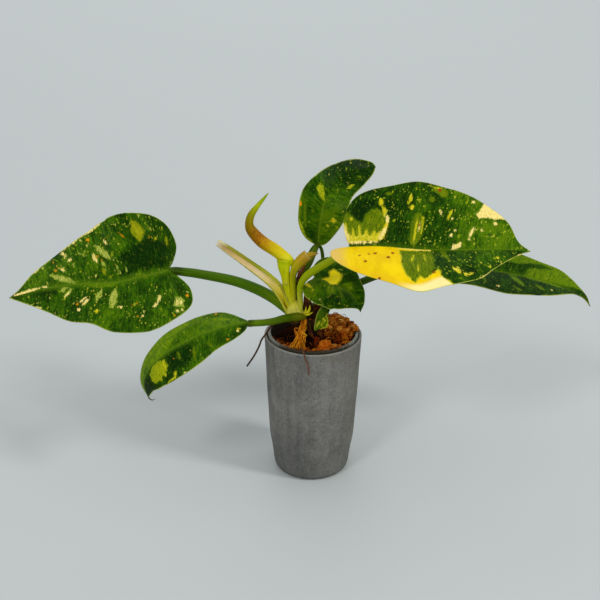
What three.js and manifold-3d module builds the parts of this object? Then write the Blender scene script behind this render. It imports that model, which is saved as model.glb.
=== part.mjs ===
// A potted variegated philodendron: a tall cover pot, a nursery pot standing in it, the substrate,
// a short stem and the leaves, sheaths and roots that grow from it.
// Millimetres, +Z up. The origin is the centre of the pot's foot, and the front is towards -Y.

import * as THREE from 'three';
import { mergeVertices } from 'three/addons/utils/BufferGeometryUtils.js';
import Module from 'manifold-3d';

const wasm = await Module();
wasm.setup();

// Driving dimensions
const GAP = 0.3;
const POT_HEIGHT = 154;
const POT_RIM_RADIUS = 50;
const POT_FOOT_RADIUS = 33;
const POT_WALL = 2.6;
const POT_FLOOR = 8;
const POT_SIDES = 40;
const LIP_RADIUS = 46.4;
const LIP_TOP = POT_HEIGHT + 2.4;
const LIP_HEIGHT = 5;
const LIP_INNER_RADIUS = 43.4;
const NURSERY_WALL = 1;
const NURSERY_FLOOR_RADIUS = 33;
const NURSERY_SIDES = 36;
const DRAIN_HOLE_RADIUS = 4;
const DRAIN_HOLE_COUNT = 4;
const SOIL_LEVEL = 149;
const SOIL_RINGS = 7;
const SOIL_SIDES = 26;
const CHIP_COUNT = 22;
const BLADE_THICKNESS = 0.9;
const BLADE_EDGE_THICKNESS = 0.7;
const RIB_RIDGE = 1.6;
const RIB_STEPS = 200;
const VEIN_BEND = 1.4;
const TUBE_SIDES = 8;

const POT_GREY = 0x5d5e5f;
const NURSERY_GREY = 0x8d8e8c;
const SOIL_BROWN = 0x6b3a16;
const STEM_BROWN = 0x6f5a35;
const LEAF_GREEN = 0x2f5a16;
const LEAF_MID_GREEN = 0x3f6d1c;
const STALK_GREEN = 0x4f7a22;
const STALK_OLIVE = 0x8a9a35;
const SPIKE_YELLOW = 0xb7a63a;
const SHEATH_BEIGE = 0xb9a878;
const ROOT_BROWN = 0x3a2418;
const ROOT_GOLD = 0x9a6a2c;

// Every leaf, in flat leaf coordinates: x runs from the leaf base along the midrib, y away from it.
// An outline goes from the notch at the base round the lobe to the tip. "left" is the half on the
// left hand of someone who stands on the upper face and looks to the tip. A fold lifts a half above
// the midrib, in degrees at the base, the middle and the tip; the arch bends it down again, in
// degrees over 100 mm. A ripple is its height, its wavelength and its phase.
const LEAVES = [
  {
    name: 'left',
    colour: LEAF_GREEN,
    rib: [[-148, 12, 218], [-176, 4, 214], [-202, -2, 210], [-230, -5, 210], [-255, -8, 208],
      [-277, -12, 205], [-305, -18, 199]],
    facing: [[0.18, -0.80, 0.57], [0.10, -0.78, 0.61], [0, -0.72, 0.69]],
    fold: { left: [12, 12, 8], right: [12, 12, 8] },
    arch: 20,
    ripple: [1.0, 52, 0.4],
    rows: 16,
    left: [[0, 0], [-9, 10], [-17, 25], [-14, 41], [4, 51], [32, 58], [58, 53], [76, 44], [104, 39],
      [125, 27], [145, 13], [162, 0]],
    right: [[0, 0], [-8, 9], [-14, 24], [-9, 45], [6, 60], [28, 67], [50, 66], [70, 62], [85, 49],
      [105, 35], [118, 27], [135, 17], [150, 6], [162, 0]],
  },
  {
    name: 'right',
    colour: LEAF_GREEN,
    rib: [[34, -30, 263], [63, -32, 265], [102, -34, 263], [141, -34, 263], [180, -30, 262],
      [211, -26, 259]],
    facing: [[0, -0.47, 0.88], [0, -0.47, 0.88], [0.1, -0.50, 0.86]],
    fold: { left: [26, 26, 14], right: [24, 24, 12] },
    arch: 34,
    ripple: [1.2, 60, 1.0],
    rows: 18,
    left: [[0, 0], [-4, 12], [-6, 26], [-1, 43], [10, 55], [28, 65], [50, 73], [76, 74], [102, 69],
      [125, 59], [142, 47], [158, 30], [166, 10], [178, 0]],
    right: [[0, 0], [-10, 1], [-18, 7], [-16, 20], [-4, 34], [16, 47], [40, 57], [65, 64], [84, 58],
      [104, 51], [121, 42], [134, 30], [152, 16], [168, 5], [178, 0]],
  },
  {
    name: 'low_left',
    colour: LEAF_MID_GREEN,
    rib: [[-65, -34, 183], [-87, -38, 180], [-108, -43, 175], [-123, -47, 169], [-138, -51, 162],
      [-150, -54, 154], [-162, -57, 142], [-168, -59, 126], [-164, -60, 109]],
    facing: [[-0.1, -0.30, 0.95], [-0.35, -0.42, 0.83], [-0.80, -0.45, 0.35]],
    fold: { left: [-6, -6, 0], right: [-6, -6, -5] },
    arch: 30,
    ripple: [0.6, 50, 2.0],
    rows: 15,
    left: [[0, 0], [5, 10], [18, 18], [36, 23], [60, 30], [84, 33], [104, 31], [120, 25], [133, 15],
      [144, 0]],
    right: [[0, 0], [6, 8], [14, 18], [26, 27], [50, 30], [75, 29], [95, 24], [115, 17], [130, 10],
      [144, 0]],
  },
  {
    name: 'top',
    colour: LEAF_GREEN,
    rib: [[4, 26, 245], [5, 27, 260], [7, 28, 274], [10, 30, 286], [16, 36, 297], [26, 46, 305],
      [42, 56, 312], [62, 66, 312]],
    facing: [[-0.05, -0.97, 0.2], [-0.10, -0.93, 0.30], [0.30, -0.55, 0.78]],
    fold: { left: [24, 22, 10], right: [24, 22, 10] },
    arch: 40,
    ripple: [0.5, 45, 0.6],
    rows: 14,
    left: [[0, 0], [-2, 4], [5, 14], [18, 22], [34, 25], [46, 26], [58, 22], [75, 17], [92, 12],
      [106, 8], [113, 5], [115, 0]],
    right: [[0, 0], [-3, 4], [2, 11], [14, 19], [30, 25], [48, 25], [66, 22], [84, 20], [98, 16],
      [108, 9], [115, 0]],
  },
  {
    name: 'back_right',
    colour: LEAF_MID_GREEN,
    rib: [[124, 56, 209], [159, 56, 207], [195, 53, 202], [227, 49, 197], [258, 43, 190],
      [280, 37, 182], [289, 32, 173]],
    facing: [[0, -0.24, 0.97], [0.05, -0.24, 0.97], [0.3, -0.24, 0.92]],
    fold: { left: [12, 12, 10], right: [12, 12, 10] },
    arch: 30,
    ripple: [0.8, 55, 0],
    rows: 15,
    left: [[0, 0], [-10, 8], [-14, 20], [-4, 32], [20, 39], [50, 40], [75, 37], [93, 33], [112, 28],
      [132, 25], [145, 18], [158, 9], [174, 0]],
    right: [[0, 0], [-10, 8], [-14, 22], [-2, 33], [20, 36], [40, 37], [62, 39], [80, 40], [98, 37],
      [113, 32], [128, 25], [140, 16], [152, 5], [160, 2], [174, 0]],
  },
  {
    name: 'small',
    colour: LEAF_GREEN,
    rib: [[1, 0, 216], [11, -4, 216], [21, -8, 214], [31, -14, 210], [40, -20, 205], [47, -27, 192]],
    facing: [[0, -0.45, 0.89], [0.2, -0.45, 0.87], [0.55, -0.5, 0.66]],
    fold: { left: [10, 10, 8], right: [10, 10, 8] },
    arch: 55,
    ripple: [0.4, 30, 0],
    rows: 9,
    left: [[0, 0], [-6, 8], [-6, 17], [-2, 26], [8, 31], [22, 30], [34, 24], [42, 18], [50, 12],
      [57, 7], [62, 0]],
    right: [[0, 0], [-5, 6], [-7, 16], [-2, 25], [8, 31], [20, 34], [34, 33], [46, 30], [51, 26],
      [54, 16], [58, 4], [62, 0]],
  },
  {
    name: 'tiny',
    colour: LEAF_MID_GREEN,
    rib: [[17, -5, 187], [13, -9, 184], [7, -12, 177], [3, -15, 171], [1, -17, 165]],
    facing: [[0.5, -0.6, 0.6], [0.5, -0.75, 0.4], [0.5, -0.8, 0.3]],
    fold: { left: [30, 30, 20], right: [30, 30, 20] },
    arch: 60,
    ripple: [0, 20, 0],
    rows: 6,
    left: [[0, 0], [0, 4], [7, 8], [15, 7], [23, 3], [30, 0]],
    right: [[0, 0], [0, 4], [6, 9], [14, 9], [22, 4], [30, 0]],
  },
];

// The leaf stalks, as the points of the centre line from the crown to the leaf base and the radius
// at each point.
const STALKS = {
  left: {
    colour: STALK_GREEN,
    path: [[-22, 0, 177], [-31, 4, 184], [-43, 9, 191], [-61, 13, 199], [-84, 16, 206], [-116, 17, 212],
      [-131, 15, 215]],
    radii: [5.2, 5.7, 5.7, 5.4, 5.1, 4.7, 4.5],
  },
  right: {
    colour: STALK_OLIVE,
    path: [[-14, -7, 177], [-13, -10, 190], [-14, -11, 203], [-13, -13, 216], [-8, -16, 226],
      [1, -20, 235], [12, -24, 244], [22, -27, 252]],
    radii: [2.8, 2.8, 3, 3.6, 4.2, 4.2, 4, 3.8],
  },
  low_left: {
    colour: STALK_GREEN,
    path: [[-11, -10, 176], [-17, -16, 180], [-29, -23, 182], [-39, -27, 181], [-50, -31, 181]],
    radii: [4.4, 4.4, 3.8, 3.4, 3.3],
  },
  top: {
    colour: STALK_GREEN,
    path: [[-15, 3, 180], [-13, 4, 196], [-11, 6, 209], [-9, 12, 218], [-5, 17, 224], [-1, 21, 233]],
    radii: [3.2, 3.2, 3.4, 3.5, 3.3, 3],
  },
  back_right: {
    colour: STALK_GREEN,
    path: [[-12, 3, 172], [-4, 8, 178], [17, 18, 186], [51, 32, 199], [85, 45, 206]],
    radii: [4, 4, 4, 3.8, 3.6],
  },
  small: {
    colour: STALK_GREEN,
    path: [[-18, 5, 182], [-16, 14, 200], [-10, 22, 220], [-2, 28, 236], [4, 31, 240], [8, 33, 233],
      [9, 30, 221], [6, 14, 213]],
    radii: [2, 2, 1.9, 1.8, 1.8, 1.8, 1.8, 1.8],
  },
  tiny: {
    colour: STALK_GREEN,
    path: [[-9, -2, 172], [0, 0, 181], [9, 0, 187]],
    radii: [1.6, 1.5, 1.4],
  },
};

const NEW_LEAF_PATH = [[-21, 0, 232], [-27, 0, 236], [-39, 0, 246], [-52, 0, 255], [-62, 0, 266],
  [-65, 0, 274], [-63, 0, 284], [-57, 0, 293], [-50, 0, 302], [-46, 0, 307]];
const NEW_LEAF_RADII = [3.4, 6.3, 6.7, 6.6, 5.8, 4.5, 3.9, 2.7, 1.5, 0.5];
const NEW_LEAF_STALK_PATH = [[-20, -3, 180], [-23, -2, 190], [-25, -2, 204], [-27, -1, 219],
  [-27, -0.5, 232]];
const NEW_LEAF_STALK_RADII = [4.6, 4.9, 4.7, 4.5, 4.6];

const LEFT_SHEATH_PATH = [[-21, -4, 181], [-25, -5, 189], [-31, -6, 198], [-39, -7, 207],
  [-49, -7, 217], [-62, -6, 228], [-79, -5, 242], [-96, -4, 255]];
const LEFT_SHEATH_RADII = [6.4, 7, 7.4, 7.2, 6.6, 5.4, 3.8, 1.6];
const MIDDLE_SHEATH_PATH = [[-17, -4, 184], [-17, -4, 196], [-18, -4, 207], [-18.5, -3.5, 219],
  [-16, -3, 230], [-8, -1, 240]];
const MIDDLE_SHEATH_RADII = [2.6, 3, 3.4, 4, 5.4, 7.2];

const STEM_PATH = [[-18, -3, 185], [-17, -4, 177], [-12, -4, 167], [-5, -3, 156], [0, -2, 140],
  [2, -1, 122]];
const STEM_RADII = [6.5, 9, 8.4, 8.6, 7.6, 6];

const LEFT_ROOT_PATH = [[-20, -7, 168], [-28, -14, 176], [-36, -19, 178], [-43, -22, 172],
  [-47, -24, 166], [-52, -25, 159], [-55, -26, 151], [-60, -27, 141], [-67, -28, 130]];
const LEFT_ROOT_RADIUS = 1.1;
const FRONT_ROOT_PATH = [[-15, -35, 140], [-13.5, -38, 151], [-12, -41, 157.8], [-11, -46, 159],
  [-9.5, -50.5, 157], [-8, -51.4, 151], [-5.5, -51.2, 145], [-4.5, -51, 139], [-4.5, -50.8, 133]];
const FRONT_ROOT_RADIUS = 0.8;
const TUFT_TOP = [-13, -11, 172];
const TUFT_ROOTS = 6;
const TUFT_RADIUS = 1.1;
const SHOOT_PATH = [[-11, -10, 180], [-7, -11, 184], [-4, -11, 189]];
const SHOOT_RADII = [2.4, 2.1, 0.6];

// Small helpers

const vector = (p) => new THREE.Vector3(...p);
const lerp = THREE.MathUtils.lerp;
const radians = THREE.MathUtils.degToRad;

function curveThrough(points) {
  return new THREE.CatmullRomCurve3(points.map(vector), false, 'catmullrom', 0.5);
}

// A value read between evenly spaced samples, t from 0 to 1.
function between(samples, t) {
  const place = THREE.MathUtils.clamp(t, 0, 1) * (samples.length - 1);
  const index = Math.min(Math.floor(place), samples.length - 2);
  return lerp(samples[index], samples[index + 1], place - index);
}

function seededRandom(seed) {
  let state = seed;
  return () => {
    state = (state + 0x6d2b79f5) | 0;
    let mixed = Math.imul(state ^ (state >>> 15), 1 | state);
    mixed = (mixed + Math.imul(mixed ^ (mixed >>> 7), 61 | mixed)) ^ mixed;
    return ((mixed ^ (mixed >>> 14)) >>> 0) / 4294967296;
  };
}

// A closed geometry from points and triangles: equal corners are merged, empty triangles dropped,
// and the faces are turned outwards.
function closedGeometry(points, triangles) {
  let raw = new THREE.BufferGeometry();
  raw.setAttribute('position', new THREE.Float32BufferAttribute(points.flat(), 3));
  raw.setIndex(triangles.flat());
  raw = mergeVertices(raw, 1e-4);
  const corners = Array.from(raw.index.array);
  const kept = [];
  for (let i = 0; i < corners.length; i += 3) {
    const [a, b, c] = corners.slice(i, i + 3);
    if (a !== b && b !== c && c !== a) kept.push(a, b, c);
  }
  const position = raw.attributes.position;
  const at = (i) => new THREE.Vector3().fromBufferAttribute(position, i);
  let volume = 0;
  for (let i = 0; i < kept.length; i += 3) {
    volume += at(kept[i]).dot(at(kept[i + 1]).cross(at(kept[i + 2])));
  }
  if (volume < 0) {
    for (let i = 0; i < kept.length; i += 3) {
      [kept[i], kept[i + 1]] = [kept[i + 1], kept[i]];
    }
  }
  raw.setIndex(kept);
  return raw;
}

function fromThree(geometry) {
  const position = geometry.attributes.position;
  const points = [];
  for (let i = 0; i < position.count; i += 1) {
    points.push([position.getX(i), position.getY(i), position.getZ(i)]);
  }
  const indices = geometry.index ? Array.from(geometry.index.array) : points.map((p, i) => i);
  const triangles = [];
  for (let i = 0; i < indices.length; i += 3) triangles.push(indices.slice(i, i + 3));
  return closedGeometry(points, triangles);
}

function solid(geometry) {
  return new wasm.Manifold(new wasm.Mesh({
    numProp: 3,
    vertProperties: new Float32Array(geometry.attributes.position.array),
    triVerts: new Uint32Array(geometry.index.array),
  }));
}

// The largest body of a solid, so that no loose scrap of a cut is left.
function largestBody(manifold) {
  return manifold.decompose().reduce((best, body) => (body.volume() > best.volume() ? body : best));
}

function geometryOf(manifold) {
  const cut = manifold.getMesh();
  const geometry = new THREE.BufferGeometry();
  geometry.setAttribute('position', new THREE.Float32BufferAttribute(cut.vertProperties, 3));
  geometry.setIndex(Array.from(cut.triVerts));
  return geometry;
}

const plant = new THREE.Group();

function addMesh(name, geometry, colour, roughness) {
  const material = new THREE.MeshStandardMaterial({ color: colour, roughness, metalness: 0 });
  const mesh = new THREE.Mesh(geometry, material);
  mesh.name = name;
  plant.add(mesh);
}

// A body swept along a curve. The section is a closed outline of unit size, turned so that its +Y
// side looks the way of "facing", and scaled by the radius at each step.
function sweep({ path, radii, steps, section, facing = [[0.1, -0.2, 1], [0.1, -0.2, 1]], extra = 0 }) {
  const curve = curveThrough(path);
  const points = [];
  const triangles = [];
  const count = section.length;
  for (let i = 0; i <= steps; i += 1) {
    const t = i / steps;
    const along = curve.getTangentAt(t);
    const up = vector(facing[0]).lerp(vector(facing[1]), t);
    up.addScaledVector(along, -up.dot(along)).normalize();
    const side = new THREE.Vector3().crossVectors(along, up);
    const radius = between(radii, curve.getUtoTmapping(t)) + extra;
    const centre = curve.getPointAt(t);
    if (i === 0) centre.addScaledVector(along, -extra);
    if (i === steps) centre.addScaledVector(along, extra);
    for (const [x, y] of section) {
      const point = centre.clone().addScaledVector(side, x * radius).addScaledVector(up, y * radius);
      points.push(point.toArray());
    }
  }
  for (let i = 0; i < steps; i += 1) {
    for (let k = 0; k < count; k += 1) {
      const next = (k + 1) % count;
      const here = i * count;
      const ahead = here + count;
      triangles.push([here + k, here + next, ahead + next], [here + k, ahead + next, ahead + k]);
    }
  }
  const cap = THREE.ShapeUtils.triangulateShape(section.map(([x, y]) => new THREE.Vector2(x, y)), []);
  for (const [a, b, c] of cap) {
    triangles.push([a, c, b], [steps * count + a, steps * count + b, steps * count + c]);
  }
  return closedGeometry(points, triangles);
}

function roundSection(sides) {
  return Array.from({ length: sides }, (_, k) => {
    const angle = (2 * Math.PI * k) / sides;
    return [Math.cos(angle), Math.sin(angle)];
  });
}

// A stalk's section: round, with a shallow channel along its upper side.
function stalkSection() {
  return roundSection(TUBE_SIDES).map(([x, y]) => [x, y > 0.9 ? 0.8 : y]);
}

// A rolled leaf's section: one turn of a spiral, with the step of its free edge.
function rolledSection() {
  const turns = 9;
  const outline = Array.from({ length: turns }, (_, k) => {
    const angle = (2 * Math.PI * k) / turns;
    const radius = lerp(1, 0.84, k / turns);
    return [radius * Math.cos(angle), radius * Math.sin(angle)];
  });
  outline.push([0.83, -0.04]);
  return outline;
}

// A sheath's section: a crescent that is open towards +Y, and thicker where it is to clear others.
function channelSection(halfAngle, thickness, extra) {
  const steps = 5;
  const outer = [];
  const inner = [];
  for (let k = 0; k <= steps; k += 1) {
    const share = (2 * k) / steps - 1;
    const angle = radians(-90 + share * (halfAngle + 20 * extra));
    const inside = 1 - lerp(thickness, 0.45 * thickness, Math.abs(share)) - 0.5 * extra;
    outer.push([Math.cos(angle), Math.sin(angle)]);
    inner.unshift([inside * Math.cos(angle), inside * Math.sin(angle)]);
  }
  return outer.concat(inner);
}

// Pots

// The outer radius of the cover pot at heights given as shares of its full height.
const POT_PROFILE = [[39.7, 0.06], [41.7, 0.163], [44.2, 0.27], [46, 0.475], [47.5, 0.63], [48.4, 0.79],
  [49.9, 0.985]];

function lathe(profile, sides) {
  const outline = profile.map(([radius, height]) => new THREE.Vector2(radius, height));
  const geometry = new THREE.LatheGeometry(outline, sides);
  geometry.rotateX(Math.PI / 2);
  return fromThree(geometry);
}

function coverPot() {
  const outside = [[0, 0], [POT_FOOT_RADIUS, 0]];
  const [wallRadius, wallShare] = POT_PROFILE[0];
  const foot = new THREE.QuadraticBezierCurve(
    new THREE.Vector2(POT_FOOT_RADIUS, 0),
    new THREE.Vector2(wallRadius - 1, 0),
    new THREE.Vector2(wallRadius, wallShare * POT_HEIGHT),
  );
  for (const share of [0.35, 0.7]) outside.push(foot.getPoint(share).toArray());
  for (const [radius, share] of POT_PROFILE) outside.push([radius, share * POT_HEIGHT]);
  const rim = [[POT_RIM_RADIUS, POT_HEIGHT - 0.8], [POT_RIM_RADIUS - 0.7, POT_HEIGHT],
    [POT_RIM_RADIUS - POT_WALL + 0.7, POT_HEIGHT], [POT_RIM_RADIUS - POT_WALL, POT_HEIGHT - 0.8]];
  const inside = POT_PROFILE.filter((level, k) => k % 2 === 1).reverse()
    .map(([radius, share]) => [radius - POT_WALL, share * POT_HEIGHT]);
  inside.push([wallRadius - POT_WALL - 0.8, POT_FLOOR + 3], [wallRadius - POT_WALL - 2.5, POT_FLOOR]);
  return lathe([...outside, ...rim, ...inside, [0, POT_FLOOR]], POT_SIDES);
}

const NURSERY_BOTTOM = POT_FLOOR + GAP;
const NURSERY_FLOOR = NURSERY_BOTTOM + 1.2;
const LIP_BOTTOM = LIP_TOP - LIP_HEIGHT;

// The inner radius of the nursery pot at a height.
function nurseryInside(height) {
  const share = (height - NURSERY_FLOOR) / (LIP_BOTTOM - NURSERY_FLOOR);
  return lerp(NURSERY_FLOOR_RADIUS - NURSERY_WALL, LIP_INNER_RADIUS, THREE.MathUtils.clamp(share, 0, 1));
}

function nurseryPot() {
  const cup = solid(lathe([[0, NURSERY_BOTTOM], [NURSERY_FLOOR_RADIUS, NURSERY_BOTTOM],
    [LIP_INNER_RADIUS + NURSERY_WALL, LIP_BOTTOM], [LIP_RADIUS, LIP_BOTTOM + 0.5],
    [LIP_RADIUS, LIP_TOP - 0.8], [LIP_RADIUS - 0.8, LIP_TOP], [LIP_INNER_RADIUS + 0.8, LIP_TOP],
    [LIP_INNER_RADIUS, LIP_TOP - 0.8], [LIP_INNER_RADIUS, LIP_BOTTOM],
    [nurseryInside(NURSERY_FLOOR), NURSERY_FLOOR], [0, NURSERY_FLOOR]], NURSERY_SIDES));
  const holeOffset = NURSERY_FLOOR_RADIUS / 2;
  let pot = cup;
  for (let k = 0; k < DRAIN_HOLE_COUNT; k += 1) {
    const angle = (2 * Math.PI * (k + 0.5)) / DRAIN_HOLE_COUNT;
    const hole = new THREE.CylinderGeometry(DRAIN_HOLE_RADIUS, DRAIN_HOLE_RADIUS, 6, 10);
    hole.rotateX(Math.PI / 2);
    hole.translate(holeOffset * Math.cos(angle), holeOffset * Math.sin(angle), NURSERY_BOTTOM);
    pot = pot.subtract(solid(fromThree(hole)));
  }
  return geometryOf(pot);
}

// Substrate

// Mounds and hollows of the surface: place, height and reach.
const SOIL_FORMS = [
  { x: 25, y: 6, height: 6, reach: 15 },
  { x: 2, y: 16, height: 3.5, reach: 14 },
  { x: -26, y: -10, height: -8, reach: 11 },
  { x: 22, y: -18, height: -5, reach: 8 },
  { x: 6, y: -26, height: 2.5, reach: 9 },
];

function soilHeight(x, y) {
  let height = SOIL_LEVEL;
  for (const form of SOIL_FORMS) {
    const distance = Math.hypot(x - form.x, y - form.y) / form.reach;
    height += form.height * Math.exp(-0.5 * distance * distance);
  }
  height += 0.8 * Math.sin(0.42 * x + 0.9) * Math.sin(0.37 * y) + 0.5 * Math.sin(0.8 * x - 0.6 * y);
  return height;
}

// The substrate's radius at a height, clear of the flat sides of the nursery pot.
function soilRadius(height) {
  return nurseryInside(height) * Math.cos(Math.PI / NURSERY_SIDES) - GAP;
}

function soilBody() {
  const points = [];
  const triangles = [];
  const rings = [];
  const addRing = (radius, heightAt) => {
    const start = points.length;
    for (let k = 0; k < SOIL_SIDES; k += 1) {
      const angle = (2 * Math.PI * k) / SOIL_SIDES;
      const x = radius * Math.cos(angle);
      const y = radius * Math.sin(angle);
      points.push([x, y, heightAt(x, y)]);
    }
    rings.push(start);
  };
  const top = soilRadius(SOIL_LEVEL - 8);
  for (let i = 1; i <= SOIL_RINGS; i += 1) addRing((top * i) / SOIL_RINGS, soilHeight);
  const lowEdge = SOIL_LEVEL - 14;
  addRing(soilRadius(lowEdge), () => lowEdge);
  const floor = NURSERY_FLOOR + GAP;
  addRing(soilRadius(floor), () => floor);
  for (let i = 0; i + 1 < rings.length; i += 1) {
    for (let k = 0; k < SOIL_SIDES; k += 1) {
      const next = (k + 1) % SOIL_SIDES;
      const [here, ahead] = [rings[i], rings[i + 1]];
      triangles.push([here + k, ahead + k, ahead + next], [here + k, ahead + next, here + next]);
    }
  }
  const topCentre = points.push([0, 0, soilHeight(0, 0)]) - 1;
  const bottomCentre = points.push([0, 0, floor]) - 1;
  const last = rings[rings.length - 1];
  for (let k = 0; k < SOIL_SIDES; k += 1) {
    const next = (k + 1) % SOIL_SIDES;
    triangles.push([topCentre, k, next], [bottomCentre, last + next, last + k]);
  }
  return solid(closedGeometry(points, triangles));
}

// One chip of bark or coir, lying half sunk in the surface.
function chip(x, y, size, turn, tilt) {
  const box = new THREE.BoxGeometry(...size);
  box.rotateX(tilt);
  box.rotateZ(turn);
  box.translate(x, y, soilHeight(x, y) + 0.25 * size[2]);
  return solid(fromThree(box));
}

function substrate(holes) {
  const random = seededRandom(17);
  const chips = [chip(8, -27, [13, 8, 6], 0.5, 0.3), chip(-6, -33, [9, 5, 4], -0.4, 0.2)];
  while (chips.length < CHIP_COUNT) {
    const angle = 2 * Math.PI * random();
    const distance = (LIP_INNER_RADIUS - 8) * Math.sqrt(random());
    const size = [lerp(4, 10, random()), lerp(3, 6, random()), lerp(2.5, 4.5, random())];
    chips.push(chip(distance * Math.cos(angle), distance * Math.sin(angle), size, 6 * random(),
      lerp(-0.5, 0.5, random())));
  }
  let body = chips.reduce((sum, piece) => sum.add(piece), soilBody());
  for (const hole of holes) body = body.subtract(hole);
  return largestBody(body);
}

// Leaves

class LeafSurface {
  constructor(leaf) {
    this.leaf = leaf;
    const rib = curveThrough(leaf.rib);
    rib.arcLengthDivisions = 400;
    this.length = rib.getLength();
    this.points = rib.getSpacedPoints(RIB_STEPS);
    const facing = curveThrough(leaf.facing);
    this.along = this.points.map((point, i) => {
      const before = this.points[Math.max(i - 1, 0)];
      const after = this.points[Math.min(i + 1, RIB_STEPS)];
      return after.clone().sub(before).normalize();
    });
    this.up = this.along.map((along, i) => {
      const up = facing.getPoint(i / RIB_STEPS);
      return up.addScaledVector(along, -up.dot(along)).normalize();
    });
  }

  // The midrib's point and directions at x. Behind the base and past the tip it runs straight on.
  frame(x) {
    const place = THREE.MathUtils.clamp(x / this.length, 0, 1) * RIB_STEPS;
    const index = Math.min(Math.floor(place), RIB_STEPS - 1);
    const mix = (list) => list[index].clone().lerp(list[index + 1], place - index);
    const point = mix(this.points);
    const along = mix(this.along).normalize();
    const up = mix(this.up).normalize();
    point.addScaledVector(along, Math.min(x, 0) + Math.max(x - this.length, 0));
    return { point, along, up, side: new THREE.Vector3().crossVectors(up, along) };
  }

  // The point of the leaf's middle surface, half 1 for the left half and -1 for the right.
  place(x, y, half) {
    const { fold, arch, ripple } = this.leaf;
    const { point, up, side } = this.frame(x);
    const folds = half > 0 ? fold.left : fold.right;
    const start = radians(between(folds, x / this.length));
    const bend = radians(arch) / 100;
    const end = start - bend * y;
    const across = (Math.sin(start) - Math.sin(end)) / bend;
    const lift = (Math.cos(end) - Math.cos(start)) / bend;
    const [height, wavelength, phase] = ripple;
    const share = THREE.MathUtils.clamp(y / 60, 0, 1.2) ** 2;
    const turn = (2 * Math.PI * x) / wavelength + phase + (half > 0 ? 0 : 2);
    point.addScaledVector(side, half * across);
    return point.addScaledVector(up, lift + height * share * Math.sin(turn));
  }

  normal(x, y, half) {
    const alongX = this.place(x + 1, y, half).sub(this.place(x - 1, y, half));
    const acrossY = this.place(x, y + 1, half).sub(this.place(x, Math.max(y - 1, 0), half));
    return alongX.cross(acrossY).multiplyScalar(half).normalize();
  }
}

// Shares of the way from the midrib to the edge at which the blade has a row of corners.
const BLADE_ROWS = [0, 0.05, 0.25, 0.5, 0.76, 1];
const LOBE_REACH = 0.05;
const LOBE_STEP = 11;

// The blade as a solid. Its veins fan out from the leaf base into the lobe and then leave the
// midrib one after the other; both faces are split into the same triangles.
function bladeGeometry(leaf, extra = 0) {
  const surface = new LeafSurface(leaf);
  const last = BLADE_ROWS.length - 1;
  const points = [];
  const triangles = [];
  const known = new Map();
  const corner = (key, make) => {
    if (!known.has(key)) known.set(key, points.push(make().toArray()) - 1);
    return known.get(key);
  };
  const midrib = (station, top) => corner(`${station.toFixed(3)} ${top}`, () => {
    const share = station / surface.length;
    const { point, up } = surface.frame(station + 4 * extra * (share - 0.5));
    const ridge = RIB_RIDGE * Math.sin(Math.PI * Math.sqrt(share));
    const offset = top ? BLADE_THICKNESS / 2 + extra : -(BLADE_THICKNESS / 2 + ridge + extra);
    return point.addScaledVector(up, offset);
  });
  for (const half of [1, -1]) {
    const outline = curveThrough((half > 0 ? leaf.left : leaf.right).map(([x, y]) => [x, y, 0]));
    let lobeShare = 0;
    while (outline.getPointAt(lobeShare).x < LOBE_REACH * surface.length) lobeShare += 0.005;
    const fan = Math.max(2, Math.round((lobeShare * outline.getLength()) / LOBE_STEP));
    const total = fan + leaf.rows;
    const at = (i, j, top) => {
      const station = (surface.length * Math.max(i - fan, 0)) / leaf.rows;
      if (j === 0 || i === 0 || i === total) return midrib(station, top);
      return corner(`${half} ${i} ${j} ${top}`, () => {
        const share = i < fan ? (lobeShare * i) / fan : lerp(lobeShare, 1, (i - fan) / leaf.rows);
        const edge = outline.getPointAt(share);
        const direction = outline.getTangentAt(share);
        edge.add(new THREE.Vector3(-direction.y, direction.x, 0).multiplyScalar(1.5 * extra));
        const row = BLADE_ROWS[j];
        const x = station + (edge.x - station) * row ** VEIN_BEND;
        const y = edge.y * row;
        const thickness = lerp(BLADE_THICKNESS, BLADE_EDGE_THICKNESS, row) / 2 + extra;
        const normal = surface.normal(x, y, half);
        return surface.place(x, y, half).addScaledVector(normal, top ? thickness : -thickness);
      });
    };
    const addFace = (a, b, c) => {
      if (a === b || b === c || c === a) return;
      triangles.push(half > 0 ? [a, b, c] : [a, c, b]);
    };
    for (let i = 0; i < total; i += 1) {
      for (let j = 0; j < last; j += 1) {
        addFace(at(i, j, true), at(i + 1, j, true), at(i + 1, j + 1, true));
        addFace(at(i, j, true), at(i + 1, j + 1, true), at(i, j + 1, true));
        addFace(at(i, j, false), at(i + 1, j + 1, false), at(i + 1, j, false));
        addFace(at(i, j, false), at(i, j + 1, false), at(i + 1, j + 1, false));
      }
      addFace(at(i, last, true), at(i + 1, last, true), at(i + 1, last, false));
      addFace(at(i, last, true), at(i + 1, last, false), at(i, last, false));
    }
  }
  return closedGeometry(points, triangles);
}

// A stalk's centre line carried on to the underside of its leaf's base.
function stalkSweep(name, extra = 0) {
  const stalk = STALKS[name];
  const leaf = LEAVES.find((entry) => entry.name === name);
  const { point, along, up } = new LeafSurface(leaf).frame(0);
  const end = stalk.radii[stalk.radii.length - 1];
  const neck = 0.75 * end;
  const tip = 0.35 * end;
  const path = [...stalk.path,
    point.clone().addScaledVector(along, -1.5).addScaledVector(up, -(0.8 + 0.8 * neck)).toArray(),
    point.clone().addScaledVector(along, 6).addScaledVector(up, -(1.9 + 0.8 * tip)).toArray()];
  const steps = Math.round(curveThrough(path).getLength() / 11) + 4;
  return sweep({ path, radii: [...stalk.radii, neck, tip], steps, section: stalkSection(), extra });
}

// The bodies at the crown, in the order in which they keep their full shape: each one is cut clear
// of those before it.

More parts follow.
